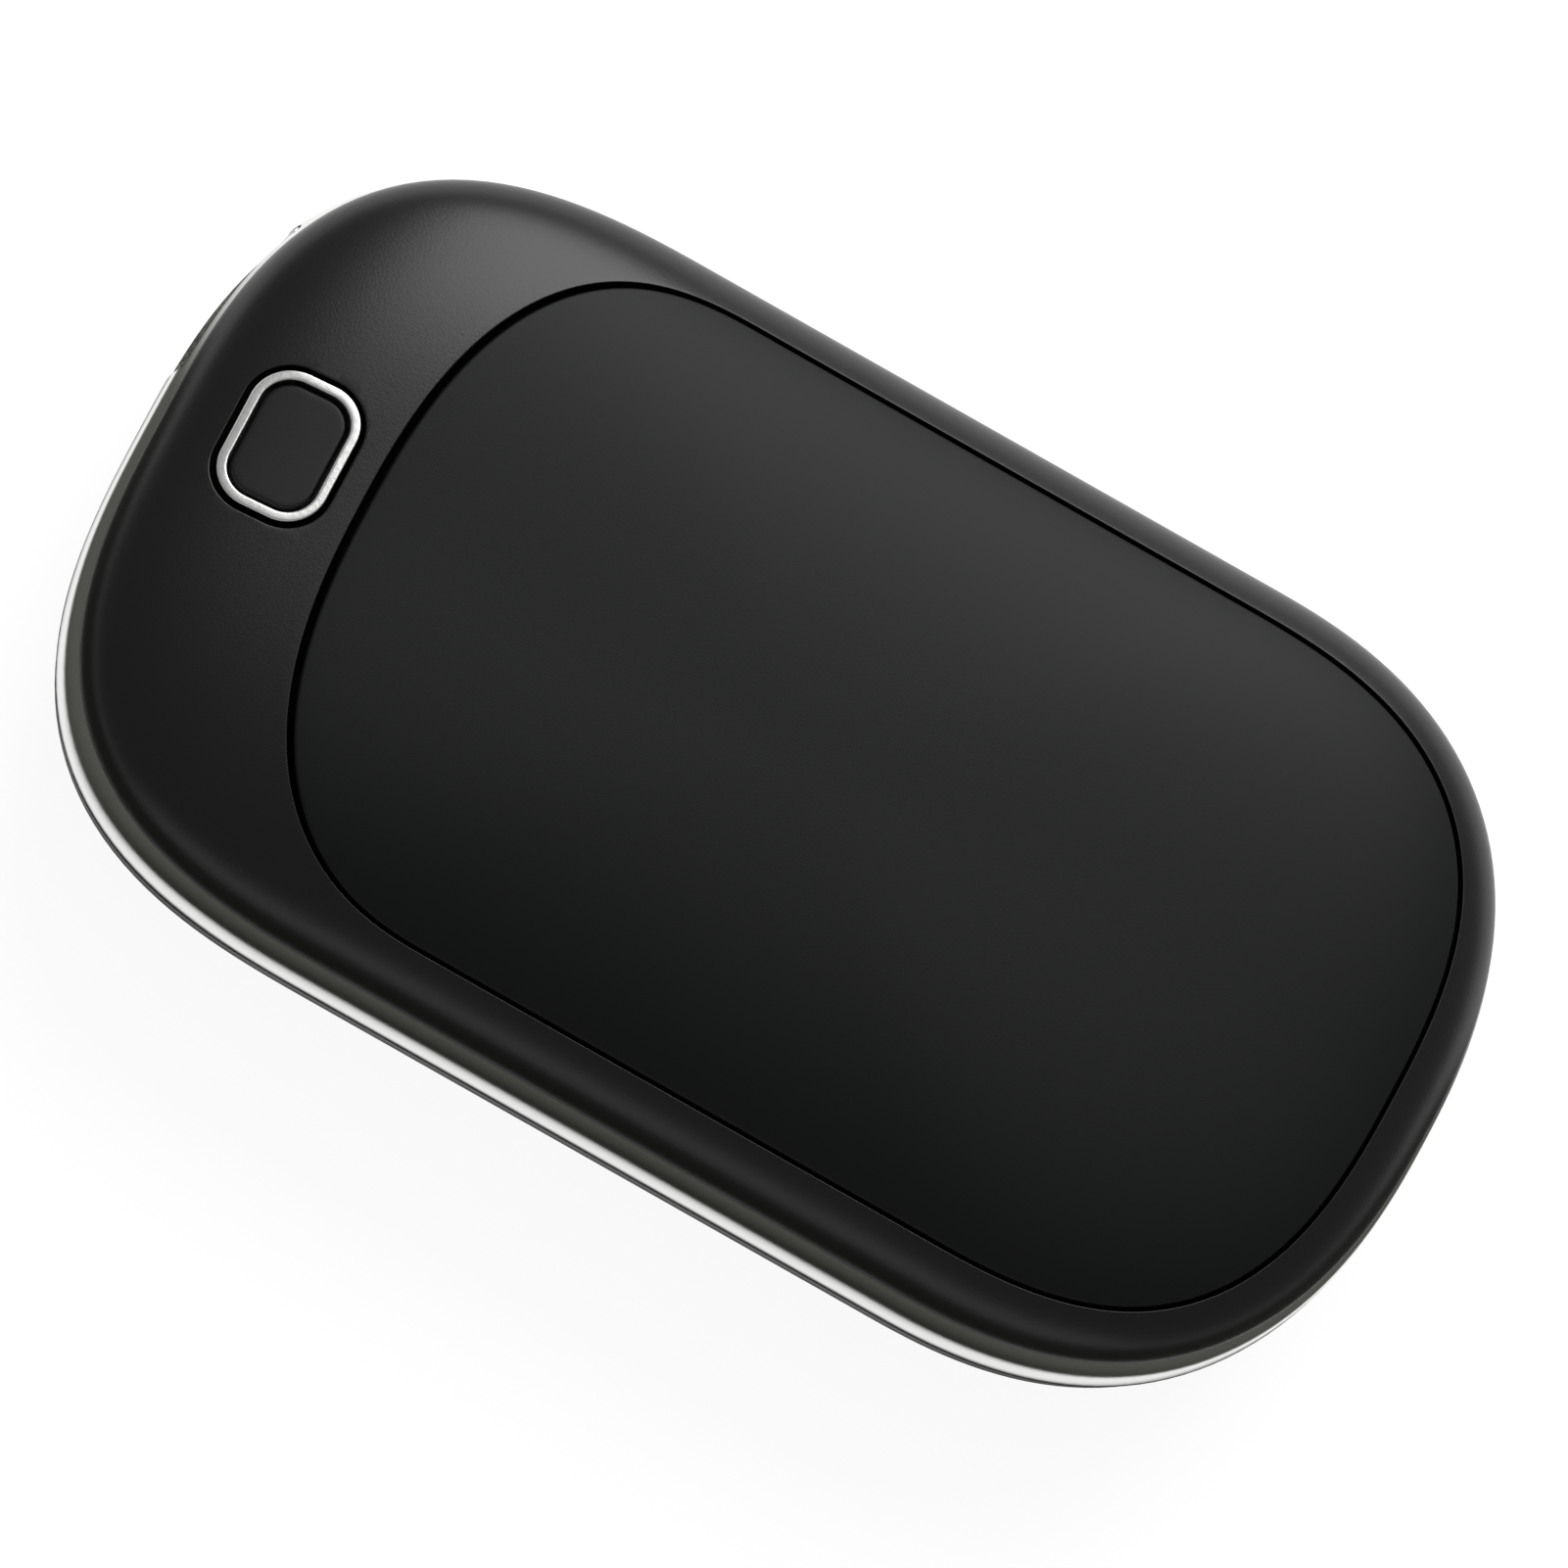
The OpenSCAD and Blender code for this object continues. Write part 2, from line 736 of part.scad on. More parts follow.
// Ring of adhesive tape between a plate and its ledge
module plate_tape(h) {
  swept_ring([for (i = [0:len(ledge_edge) - 1])
    let(
      a = ledge_edge[i], b = pocket_edge[i],
      p = mix(a, b, tape_shares[0]), q = mix(a, b, tape_shares[1]),
      low = [for (s = tape_shares) waist_z + fit + mix(ledge_top(a), ledge_top(b), s)],
      high = [for (s = tape_shares)
        waist_z - fit - plate_t + mix(crown(a, 0, h), crown(b, 0, h), s)]
    )
    [[p.x, p.y, low[0]], [q.x, q.y, low[1]], [q.x, q.y, high[1]], [p.x, p.y, high[0]]]
  ]);
}

module upper_plate_tape() {
  color("#3b3a36") plate_tape(plate_crown);
}

module lower_plate_tape() {
  color("#3b3a36") flipped() plate_tape(shell_crown);
}

// Printed heater film under a plate
module heater_film(h) {
  high = -plate_t - fit;
  skinned(
    concat(
      [for (s = film_shares) plate_ring(s, h, high - film_t)],
      [for (s = last_first(film_shares)) plate_ring(s, h, high)]
    ),
    plate_point(h, high - film_t), plate_point(h, high)
  );
}

module upper_heater_film() {
  color("#b0702c") heater_film(plate_crown);
}

module lower_heater_film() {
  color("#b0702c") flipped() heater_film(shell_crown);
}

// Foam pad between the cells and a heater film
module foam_pad(h) {
  high = -plate_t - fit - film_t - fit;
  base = waist_z + sleeve_r + fit;
  skinned(
    concat(
      [[for (p = plate_ring(pad_shares[1], h, 0)) [p.x, p.y, base]]],
      [for (s = last_first(pad_shares)) plate_ring(s, h, high)]
    ),
    [plate_mid.x, plate_mid.y, base], plate_point(h, high)
  );
}

module upper_foam_pad() {
  color("#6a6d70") foam_pad(plate_crown);
}

module lower_foam_pad() {
  color("#6a6d70") flipped() foam_pad(shell_crown);
}

// Chrome ring that stands in the button well and keeps the key in
module button_ring() {
  a = key_loop(key_gap);
  b = key_loop(key_gap + ring_w);
  c = key_loop(key_gap + ring_w + ring_foot_w);
  function top(p) = waist_z + crown(p, 0, shell_crown) + ring_proud;
  color("#e4e6e8")
    swept_ring([for (i = [0:len(a) - 1])
      let(p = mix(a[i], b[i], ring_flat_shares[0]), q = mix(a[i], b[i], ring_flat_shares[1]))
      [
        [a[i].x, a[i].y, ring_seat_z],
        [c[i].x, c[i].y, ring_seat_z],
        [c[i].x, c[i].y, ring_seat_z + ring_foot_h],
        [b[i].x, b[i].y, ring_seat_z + ring_foot_h],
        [b[i].x, b[i].y, top(b[i]) - ring_round],
        [q.x, q.y, top(q)],
        [p.x, p.y, top(p)],
        [a[i].x, a[i].y, top(a[i]) - ring_round]
      ]
    ]);
}

// Key with a crowned top, a flange that the ring holds back and a post on the switch
module power_button() {
  edge = key_loop(0);
  face = key_loop(-key_edge);
  mid = [button_x, button_y];
  function top(p) = waist_z + crown(p, 0, shell_crown);
  color("#232425") {
    skinned(
      concat(
        [[for (p = edge) [p.x, p.y, key_flange_z + key_flange_t/2]]],
        [[for (p = edge) [p.x, p.y, top(p) - key_edge]]],
        [[for (p = face) [p.x, p.y, top(p)]]]
      ),
      [mid.x, mid.y, key_flange_z + key_flange_t/2], [mid.x, mid.y, top(mid)]
    );
    button_prism(key_flange_w, key_flange_z, key_flange_z + key_flange_t);
    translate([button_x, button_y, plunger_top + fit])
      cylinder(d = key_post_d, h = key_post_l + key_flange_t/2, $fn = round_fn);
  }
}

// Body of the switch with a stepped room for its plunger and four pins
module tact_switch() {
  color("#2b2c2e")
    difference() {
      union() {
        translate([button_x - switch_w/2, button_y - switch_w/2, board_top])
          cube([switch_w, switch_w, switch_body_h]);
        for (y = [-1, 1]) {
          translate([
            button_x - switch_w/2 - switch_pin_l,
            button_y + y*switch_w*switch_pin_share - switch_pin_w/2,
            board_top
          ])
            cube([switch_w + 2*switch_pin_l, switch_pin_w, switch_pin_t]);
        }
      }
      translate([button_x, button_y, board_top + switch_floor])
        cylinder(r = switch_room_r, h = switch_room_h, $fn = round_fn);
      translate([button_x, button_y, board_top + switch_floor])
        cylinder(r = plunger_d/2 + plunger_gap, h = switch_body_h, $fn = round_fn);
    }
}

module switch_plunger() {
  foot_z = board_top + switch_floor + switch_room_h - fit - plunger_foot_h;
  color("#c9c4b8") {
    translate([button_x, button_y, foot_z])
      cylinder(r = plunger_foot_r, h = plunger_foot_h, $fn = round_fn);
    translate([button_x, button_y, foot_z])
      cylinder(d = plunger_d, h = plunger_top - foot_z, $fn = round_fn);
  }
}

// Board that follows the nose, notched for the outlet port, with a wing for the charge port
module main_circuit_board() {
  wide_x = boss_nose_x - boss_r - board_boss_gap;
  notch_w = outlet_w + 4*fit;
  wing_y = boss_nose_y + boss_r + boss_board_gap;
  color("#1f5a3a")
    translate([0, 0, board_under])
    linear_extrude(height = board_t)
    difference() {
      union() {
        intersection() {
          polygon(rim(wall + board_gap));
          union() {
            translate([-half_l, -half_w])
              square([half_l + wide_x, 2*half_w]);
            translate([wide_x - over, wing_y])
              square([over + charge_x + charge_w/2 + charge_wing - wide_x, half_w]);
          }
        }
        translate([wide_x - over, -board_tab_w/2])
          square([over + cell_x - board_tab_back - wide_x, board_tab_w]);
      }
      translate([-half_l, outlet_y - notch_w/2])
        square([half_l + outlet_x + outlet_l + 2*fit, notch_w]);
      for (p = POSTS) {
        translate([p.x, p.y])
          circle(r = post_screw_r + 2*fit, $fn = round_fn);
      }
    }
}

// Outline of the charge port: straight above, tapered below
module charge_outline(t) {
  w = charge_w/2 - t;
  h = charge_h/2 - t;
  polygon([
    [-w, h],
    [-w, -h + 2*h*charge_side_share],
    [charge_taper - w, -h],
    [w - charge_taper, -h],
    [w, -h + 2*h*charge_side_share],
    [w, h]
  ]);
}

module charge_port_shell() {
  color("#b9bcc0")
    at_charge_port()
    difference() {
      along_x(charge_l) charge_outline(0);
      translate([-over, 0, 0])
        along_x(charge_l - port_t + over)
        charge_outline(port_t);
    }
}

module charge_port_tongue() {
  back_x = charge_l - port_t - charge_back_l;
  color("#141414")
    at_charge_port() {
      translate([back_x, 0, 0])
        along_x(charge_back_l)
        charge_outline(port_t + fit);
      translate([back_x - charge_tongue_l, -charge_tongue_w/2, 0])
        cube([charge_tongue_l + charge_back_l/2, charge_tongue_w, charge_tongue_t]);
    }
}

// Outlet port: folded sheet with spring windows and ears on the board
module outlet_port_shell() {
  ear_t = port_t;
  color("#b9bcc0")
    difference() {
      union() {
        translate([outlet_x, outlet_y, waist_z])
          along_x(outlet_l)
          rounded(outlet_w, outlet_h, outlet_r);
        translate([outlet_x + ear_back, outlet_y - outlet_w/2 - ear_w, board_top])
          cube([ear_l, outlet_w + 2*ear_w, ear_t]);
      }
      translate([outlet_x - over, outlet_y, waist_z])
        along_x(outlet_l - port_t + over)
        rounded(outlet_w - 2*port_t, outlet_h - 2*port_t, outlet_r - port_t/2);
      for (s = spring_shares) {
        translate([
          outlet_x + spring_set,
          outlet_y + outlet_w*s - spring_w/2,
          waist_z - outlet_h/2 - over
        ])
          cube([spring_l, spring_w, outlet_h + 2*over]);
      }
    }
}

module outlet_port_tongue() {
  back_x = outlet_x + outlet_l - port_t - outlet_back_l;
  inner_w = outlet_w - 2*port_t - 2*fit;
  inner_h = outlet_h - 2*port_t - 2*fit;
  color("#e8e8e4")
    translate([0, outlet_y, waist_z]) {
      translate([back_x, 0, 0])
        along_x(outlet_back_l)
        rounded(inner_w, inner_h, outlet_r - port_t/2);
      translate([back_x - outlet_tongue_l, -outlet_tongue_w/2, outlet_tongue_up - outlet_tongue_t/2])
        cube([outlet_tongue_l + outlet_back_l/2, outlet_tongue_w, outlet_tongue_t]);
    }
}

module outlet_port_contacts() {
  back_x = outlet_x + outlet_l - port_t - outlet_back_l;
  color("#c8a24a")
    for (s = contact_shares) {
      translate([
        back_x - contact_l,
        outlet_y + outlet_tongue_w*s - contact_w/2,
        waist_z + outlet_tongue_up - outlet_tongue_t/2 - contact_t
      ])
        cube([contact_l, contact_w, contact_t]);
    }
}

// Controller under the board with its pins
module controller_chip() {
  color("#17181a")
    translate([chip_x, chip_y, board_under]) {
      translate([-chip_l/2, -chip_w/2, -chip_h])
        cube([chip_l, chip_w, chip_h]);
      for (s = pin_shares) {
        translate([chip_l*s - pin_w/2, -chip_w/2 - pin_l, -pin_t])
          cube([pin_w, chip_w + 2*pin_l, pin_t]);
      }
    }
}

// Drum core inductor of the outlet's step-up circuit
module boost_inductor() {
  color("#3c3d40")
    translate([inductor_x, inductor_y, board_top]) {
      linear_extrude(height = inductor_rim)
        rounded(inductor_w, inductor_w, inductor_r);
      cylinder(d = core_d, h = inductor_h, $fn = round_fn);
      translate([0, 0, inductor_h - inductor_rim])
        linear_extrude(height = inductor_rim)
        rounded(inductor_w, inductor_w, inductor_r);
    }
}

// Two cans with a rolled neck
module board_capacitors() {
  r = cap_d/2;
  color("#9aa0a8")
    for (c = CAPS) {
      translate([c.x, c.y, board_top])
        rotate_extrude($fn = round_fn)
        polygon([
          [0, 0],
          [r, 0],
          [r, cap_foot],
          [r - cap_neck, cap_foot + cap_neck],
          [r, cap_foot + 2*cap_neck],
          [r, cap_h - cap_neck],
          [r - cap_neck, cap_h],
          [0, cap_h]
        ]);
    }
}

// Two transistors that switch the heater films
module heater_transistors() {
  color("#1a1b1d")
    for (y = [-transistor_y, transistor_y]) {
      translate([tab_x - transistor_l/2, y - transistor_w/2, board_top])
        cube([transistor_l, transistor_w, transistor_h]);
      for (s = transistor_pin_shares) {
        translate([
          tab_x - transistor_l/2 - transistor_pin_l,
          y + transistor_w*s - pin_w/2,
          board_top
        ])
          cube([transistor_l + 2*transistor_pin_l, pin_w, pin_t]);
      }
    }
}

// Three lamps on the board in front of the switch
module status_leds() {
  color("#f2ead2")
    for (k = [-1:1]) {
      translate([led_back - half_l - led_l/2, button_y + k*led_step - led_w/2, board_top])
        cube([led_l, led_w, led_h]);
    }
}

// Round cell along X with a crimped end and a raised terminal
module battery_cell() {
  r = cell_d/2;
  translate([cell_x, 0, waist_z])
    rotate([0, 90, 0])
    rotate_extrude($fn = 2*round_fn)
    polygon([
      [0, -terminal_h],
      [terminal_d/2, -terminal_h],
      [terminal_d/2, 0],
      [r - crimp_in, 0],
      [r, crimp_in],
      [r, crimp_at],
      [r - crimp_in, crimp_at + crimp_in],
      [r - crimp_in, crimp_at + crimp_w],
      [r, crimp_at + crimp_w + crimp_in],
      [r, cell_l - crimp_in],
      [r - crimp_in, cell_l],
      [0, cell_l]
    ]);
}

module battery_cell_left() {
  color("#3f6f9c") translate([0, cell_y, 0]) battery_cell();
}

module battery_cell_right() {
  color("#3f6f9c") translate([0, -cell_y, 0]) battery_cell();
}

// Shrink sleeve round both cells
module battery_sleeve() {
  color("#1d3f6e")
    difference() {
      translate([cell_x - sleeve_over, 0, waist_z])
        along_x(cell_l + 2*sleeve_over)
        cell_pair(sleeve_r);
      translate([cell_x - sleeve_over - over, 0, waist_z])
        along_x(cell_l + 2*sleeve_over + 2*over)
        cell_pair(sleeve_r - sleeve_t);
    }
}

// Nickel strip that joins both cells, slotted at its welds
module cell_strip(x) {
  strip_l = 2*cell_y + strip_w;
  color("#c4c6c8")
    difference() {
      translate([x, -strip_l/2, waist_z - strip_w/2])
        cube([strip_t, strip_l, strip_w]);
      for (y = [-cell_y, cell_y]) {
        translate([x - over, y - weld_slot_l/2, waist_z - weld_slot_w/2])
          cube([strip_t + 2*over, weld_slot_l, weld_slot_w]);
      }
    }
}

module front_cell_strip() {
  cell_strip(cell_x - terminal_h - strip_t);
}

module rear_cell_strip() {
  cell_strip(cell_x + cell_l);
}

// Round lead along a path that keeps nearly to the X and Z directions
module lead(path, d) {
  n = len(path);
  skinned(
    [for (k = [0:n - 1])
      let(
        t = path[min(k + 1, n - 1)] - path[max(k - 1, 0)],
        u = t/norm(t),
        c = cross(u, [0, 1, 0]),
        s = c/norm(c),
        w = cross(u, s)
      )
      [for (j = [0:lead_sides - 1])
        let(a = 360*j/lead_sides) path[k] + d/2*(s*cos(a) + w*sin(a))]
    ],
    path[0], path[n - 1]
  );
}

// Lead from the front strip down to the board
module battery_lead_positive() {
  start = [cell_x - terminal_h - strip_t - lead_gap, positive_strip_y, waist_z + positive_up];
  end = [lead_x, positive_y, board_top + lead_gap];
  color("#b3261e")
    lead(bend_path(start, [lead_x, start.y, start.z], [end.x, end.y, start.z], end), battery_lead_d);
}

// Lead from the rear strip, back over the valley between the cells and down to the board
module battery_lead_negative() {
  start = [cell_x + cell_l + strip_t + lead_gap, 0, waist_z];
  over_z = waist_z + cell_d/2 - negative_clear;
  end = [lead_x, negative_y, board_top + lead_gap];
  path = concat(
    bend_path(
      start, start + [negative_bend, 0, 0],
      [start.x + negative_bend, 0, over_z], [start.x, 0, over_z]
    ),
    bend_path([cell_x, 0, over_z], [lead_x, 0, over_z], [lead_x, negative_y, over_z], end)
  );
  color("#1b1b1b") lead(path, battery_lead_d);
}

// Pair of leads from a heater film to the board face at height z
module heater_leads(h, z) {
  from = [heater_lead_x, 0];
  top_z = waist_z + crown(from, 0, h) - plate_t - 2*fit - film_t - lead_gap;
  for (y = heater_lead_ys) {
    lead(
      bend_path(
        [heater_lead_x, y, top_z],
        [heater_lead_x, y, top_z - lead_drop],
        [lead_x, y, z + lead_drop],
        [lead_x, y, z + lead_gap]
      ),
      heater_lead_d
    );
  }
}

module upper_heater_leads() {
  color("#d9d4c6") heater_leads(plate_crown, board_top);
}

module lower_heater_leads() {
  color("#d9d4c6") flipped() heater_leads(shell_crown, 2*waist_z - board_under);
}

// Sensor bead under a film with its sheathed lead to the board face at height z
module thermistor(h, z) {
  bead_z = waist_z + crown([bead_x, bead_y], 0, h) - plate_t - 2*fit - film_t - lead_gap - bead_d/2;
  translate([bead_x - bead_l/2, bead_y, bead_z])
    rotate([0, 90, 0])
    cylinder(d = bead_d, h = bead_l, $fn = round_fn);
  lead(
    bend_path(
      [bead_x, bead_y, bead_z],
      [lead_x, bead_y, bead_z],
      [lead_x, bead_y, z + lead_drop],
      [lead_x, bead_y, z + lead_gap]
    ),
    bead_lead_d
  );
}

module heater_thermistors() {
  color("#2a2a2a") {
    thermistor(plate_crown, board_top);
    flipped() thermistor(shell_crown, 2*waist_z - board_under);
  }
}

// Pan head screw that points up, with its head under the origin
module screw(r, l, head_r, head_h) {
  difference() {
    union() {
      translate([0, 0, -head_h])
        cylinder(r = head_r, h = head_h, $fn = round_fn);
      cylinder(r = r, h = l, $fn = round_fn);
    }
    for (a = [0, 90]) {
      rotate([0, 0, a])
        translate([-head_r*slot_share, -slot_w/2, -head_h - over])
        cube([2*head_r*slot_share, slot_w, over + slot_h]);
    }
  }
}

module shell_screws() {
  color("#8d9094")
    for (b = BOSSES) {
      translate([b.x, b.y, waist_z - screw_seat])
        screw(screw_r, screw_l, screw_head_r, screw_head_h);
    }
}

module board_screws() {
  color("#8d9094")
    for (p = POSTS) {
      translate([p.x, p.y, board_top])
        mirror([0, 0, 1])
        screw(post_screw_r, post_screw_l - fit, post_head_r, post_head_h);
    }
}

upper_shell();
lower_shell();
waist_band();
upper_heat_plate();
lower_heat_plate();
upper_plate_tape();
lower_plate_tape();
upper_heater_film();
lower_heater_film();
upper_foam_pad();
lower_foam_pad();
button_ring();
power_button();
tact_switch();
switch_plunger();
main_circuit_board();
charge_port_shell();
charge_port_tongue();
outlet_port_shell();
outlet_port_tongue();
outlet_port_contacts();
controller_chip();
boost_inductor();
board_capacitors();
heater_transistors();
status_leds();
battery_cell_left();
battery_cell_right();
battery_sleeve();
front_cell_strip();
rear_cell_strip();
battery_lead_positive();
battery_lead_negative();
upper_heater_leads();
lower_heater_leads();
heater_thermistors();
shell_screws();
board_screws();
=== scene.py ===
"""Looks, light and camera of the rechargeable hand warmer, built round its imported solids."""

import functools
import json
import math

import bmesh
import bpy
import numpy as np
from mathutils import Matrix, Vector

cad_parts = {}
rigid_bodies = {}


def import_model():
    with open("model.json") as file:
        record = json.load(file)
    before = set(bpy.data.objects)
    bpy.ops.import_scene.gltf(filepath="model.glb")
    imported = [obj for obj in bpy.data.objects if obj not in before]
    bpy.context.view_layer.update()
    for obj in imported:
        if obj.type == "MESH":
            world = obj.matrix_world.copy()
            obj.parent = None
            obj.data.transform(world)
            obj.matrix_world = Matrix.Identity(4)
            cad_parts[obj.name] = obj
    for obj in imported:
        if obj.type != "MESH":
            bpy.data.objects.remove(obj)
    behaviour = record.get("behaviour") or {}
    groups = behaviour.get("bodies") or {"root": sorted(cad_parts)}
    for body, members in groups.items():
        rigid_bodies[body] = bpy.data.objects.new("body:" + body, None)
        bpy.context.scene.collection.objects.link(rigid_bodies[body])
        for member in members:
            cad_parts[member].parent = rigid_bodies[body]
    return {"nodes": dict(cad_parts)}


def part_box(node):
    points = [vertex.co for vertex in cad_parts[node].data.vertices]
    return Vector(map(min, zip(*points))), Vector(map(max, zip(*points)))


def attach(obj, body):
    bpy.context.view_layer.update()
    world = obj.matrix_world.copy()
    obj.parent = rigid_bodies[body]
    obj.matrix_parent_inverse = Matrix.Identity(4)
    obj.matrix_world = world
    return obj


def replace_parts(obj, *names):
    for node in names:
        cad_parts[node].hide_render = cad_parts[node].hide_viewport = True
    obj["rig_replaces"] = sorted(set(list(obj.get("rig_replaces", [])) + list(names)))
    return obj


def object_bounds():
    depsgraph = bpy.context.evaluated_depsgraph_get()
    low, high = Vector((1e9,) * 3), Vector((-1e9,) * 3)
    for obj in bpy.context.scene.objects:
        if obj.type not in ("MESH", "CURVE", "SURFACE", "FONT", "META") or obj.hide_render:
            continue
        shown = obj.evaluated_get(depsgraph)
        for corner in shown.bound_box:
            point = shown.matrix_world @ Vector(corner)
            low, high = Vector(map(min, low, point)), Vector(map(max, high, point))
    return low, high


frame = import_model()
cad_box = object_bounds()

# Sizes in millimetres, in the same frame as the solids. The overall ones come from the frame.
MM = 0.001
FIT = 0.05
body_l, body_w, body_h = ((high - low) / MM for low, high in zip(*cad_box))
nose_len, nose_exp = 29.5, 2.84
tail_len, tail_exp = 27.7, 2.45
crown_exp = 2.5
wall = 2.4
shell_step = 0.15
tongue_share, tongue_h = 0.4, 1.0

band_h, band_t = 8.0, 1.7
band_proud, band_sag, band_seam = 0.5, 0.55, 0.1

plate_side_gap, plate_tail_gap, plate_t = 3.4, 3.9, 1.0
plate_nose_shift, plate_nose_exp = 4.45, 2.51
plate_tail_shift, plate_tail_exp = 1.1, 2.74
groove, groove_nose = 0.3, 0.55
tape_t, ledge_w, ledge_t = 0.4, 2.2, 1.2

button_margin, button_bridge, button_y = 4.0, 1.9, 1.3
key_l, key_w, key_r = 6.1, 8.8, 2.05
key_gap, ring_w, ring_proud, ring_gap = 0.3, 0.7, 0.3, 0.4
key_travel, seat_depth = 0.4, 0.92
flange_w, flange_t = 0.4, 0.95
post_d, post_l = 3.0, 1.1
ring_foot_h = 0.6
collar_w, collar_drop = 1.1, 0.3

# Screw bosses, board posts and cell ribs, and where they end inside the walls
boss_r, boss_tail_y = 2.6, 9.0
screw_r, screw_head_r, screw_seat, screw_l, screw_slack = 1.0, 1.8, 5.0, 9.0, 0.6
post_r, post_screw_r, post_head_r, post_screw_l = 2.1, 0.75, 1.5, 4.5
rib_t, rib_low, rib_high, rib_gap, rib_shares = 1.4, 7.0, 1.5, 0.15, (0.2, 0.8)
core_share, core_bite = 0.5, 0.5

port_t, port_gap = 0.3, 0.25
window_outlet_r, window_charge_r = 0.75, 0.4

# Radii of the eased edges
rim_round = 0.12
pocket_round = 0.14
plate_round = 0.26
well_round = 0.16
ring_round = 0.18
key_round = 0.34

# Squareness of the band's face
band_exp = 3

# How far a port's opening is cut in, how far a cut or a guide point lies past a face, and how little the
# well's cutter clears the crown
over_port, over, well_lift = 8.0, 1.0, 0.01

# Shares of the way in over the key's top: where its eased edge leads, and its first and last loop
key_inward, key_first, key_last = 0.3, 0.15, 0.95

# Degrees from which an edge stays sharp
sharp_angle = 34

# Steps of the meshes
end_steps, side_steps, corner_steps, ease_steps = 44, 22, 14, 6
skin_steps, inner_steps, plate_steps, band_steps = 46, 8, 26, 10
ray_steps, key_steps = 36, 8

waist_z = body_h / 2
half_l, half_w = body_l / 2 - band_proud, body_w / 2 - band_proud
plate_crown = waist_z - band_h / 2
shell_crown = plate_crown + shell_step
lining_crown = plate_crown - plate_t - tape_t - ledge_t
well_out = key_gap + ring_w + ring_gap
button_inset = button_margin + well_out + key_l / 2
button_x = button_inset - half_l
plate_nose_gap = button_inset + key_l / 2 + well_out + button_bridge + groove_nose
plate_nose_len = nose_len - plate_nose_gap + plate_nose_shift
plate_tail_len = tail_len - plate_tail_gap + plate_tail_shift
plate_half_w = half_w - plate_side_gap


# ---- Outlines and heights -------------------------------------------------------------------

def mix(a, b, t):
    return a + (b - a) * t


def rounded_end(turn, e, b, n):
    """Points of a superelliptic end, from its side at no turn to its tip at a quarter turn."""
    k = (np.abs(np.sin(turn)) ** n + np.abs(np.cos(turn)) ** n) ** (1 / n)
    return e * np.sin(turn) / k, b * np.cos(turn) / k


def pebble(nose_x, nose_e, nose_n, tail_x, tail_e, tail_n, b):
    """Closed outline with two different rounded ends and straight sides, counterclockwise."""
    cn, ct = nose_e - nose_x, tail_x - tail_e
    turn = np.linspace(0, math.pi, 2 * end_steps + 1)
    along = np.linspace(0, 1, side_steps + 1)[1:-1]
    tx, ty = rounded_end(turn[::-1], tail_e, b, tail_n)
    nx, ny = rounded_end(turn, nose_e, b, nose_n)
    far = np.column_stack([ct + (cn - ct) * along, np.full_like(along, b)])
    near = np.column_stack([cn + (ct - cn) * along, np.full_like(along, -b)])
    return np.vstack([np.column_stack([ct + tx, ty]), far, np.column_stack([cn - nx, ny]), near])


def rim(d):
    """Outline of the shells drawn in by d."""
    return pebble(half_l - d, nose_len - d, nose_exp, half_l - d, tail_len - d, tail_exp, half_w - d)


def plate_loop(g, gn):
    """Plate outline grown by g, and by gn at its button side."""
    return pebble(half_l - plate_nose_gap + gn, plate_nose_len + gn, plate_nose_exp,
                  half_l - plate_tail_gap + g, plate_tail_len + g, plate_tail_exp, plate_half_w + g)


def inside(p, d):
    """Whether points lie inside the body outline drawn in by d."""
    nose = p[..., 0] < 0
    length = np.where(nose, nose_len, tail_len)
    n = np.where(nose, nose_exp, tail_exp)
    along = np.maximum(0, np.abs(p[..., 0]) - half_l + length) / (length - d)
    return along ** n + (np.abs(p[..., 1]) / (half_w - d)) ** n < 1


def gauge(p, d):
    """Share of the way from the middle to the body outline drawn in by d, found by halving."""
    r = np.linalg.norm(p, axis=-1)
    u = p / np.where(r > 0, r, 1)[..., None]
    low, high = np.zeros_like(r), np.full_like(r, half_l + half_w)
    for _ in range(ray_steps):
        middle = (low + high) / 2
        within = inside(u * middle[..., None], d)
        low, high = np.where(within, middle, low), np.where(within, high, middle)
    return np.where(r > 0, np.minimum(1, r / np.maximum(low, FIT)), 0)


def crown(p, d, h):
    """Height of a crowned face over the waist."""
    return band_h / 2 + h * (1 - gauge(p, d) ** crown_exp) ** (1 / crown_exp)


def ledge_top(p):
    """Height of the ledge that carries a plate's tape."""
    return crown(p, 0, plate_crown) - plate_t - tape_t


def lining(p):
    """Height of a shell's inner face."""
    return crown(p, wall, lining_crown)


def core(p):
    """Height inside the walls at which bosses, posts and ribs end."""
    return mix(lining(p), ledge_top(p), core_share)


def level(p, z):
    """Plan points at the height or heights z over the floor."""
    return np.column_stack([p, np.full(len(p), z)])


def raised(p, z):
    """Plan points at the height or heights z over the waist."""
    return level(p, waist_z + z)


def on_crown(p, h=shell_crown, dz=0.0):
    """Plan points on a crowned face, or dz over it."""
    return raised(p, crown(p, 0, h) + dz)


def eased(before, corner, after, r):
    """Loops that round a corner between two edges, over a length r of each."""
    def towards(p):
        d = p - corner
        return corner + d * r / np.linalg.norm(d, axis=1)[:, None]
    a, b = towards(before), towards(after)
    return [mix(mix(a, corner, t), mix(corner, b, t), t) for t in np.linspace(0, 1, ease_steps + 1)]


def circle(x, y, r):
    turn = np.linspace(0, 2 * math.pi, 4 * corner_steps, endpoint=False)
    return np.column_stack([x + r * np.cos(turn), y + r * np.sin(turn)])


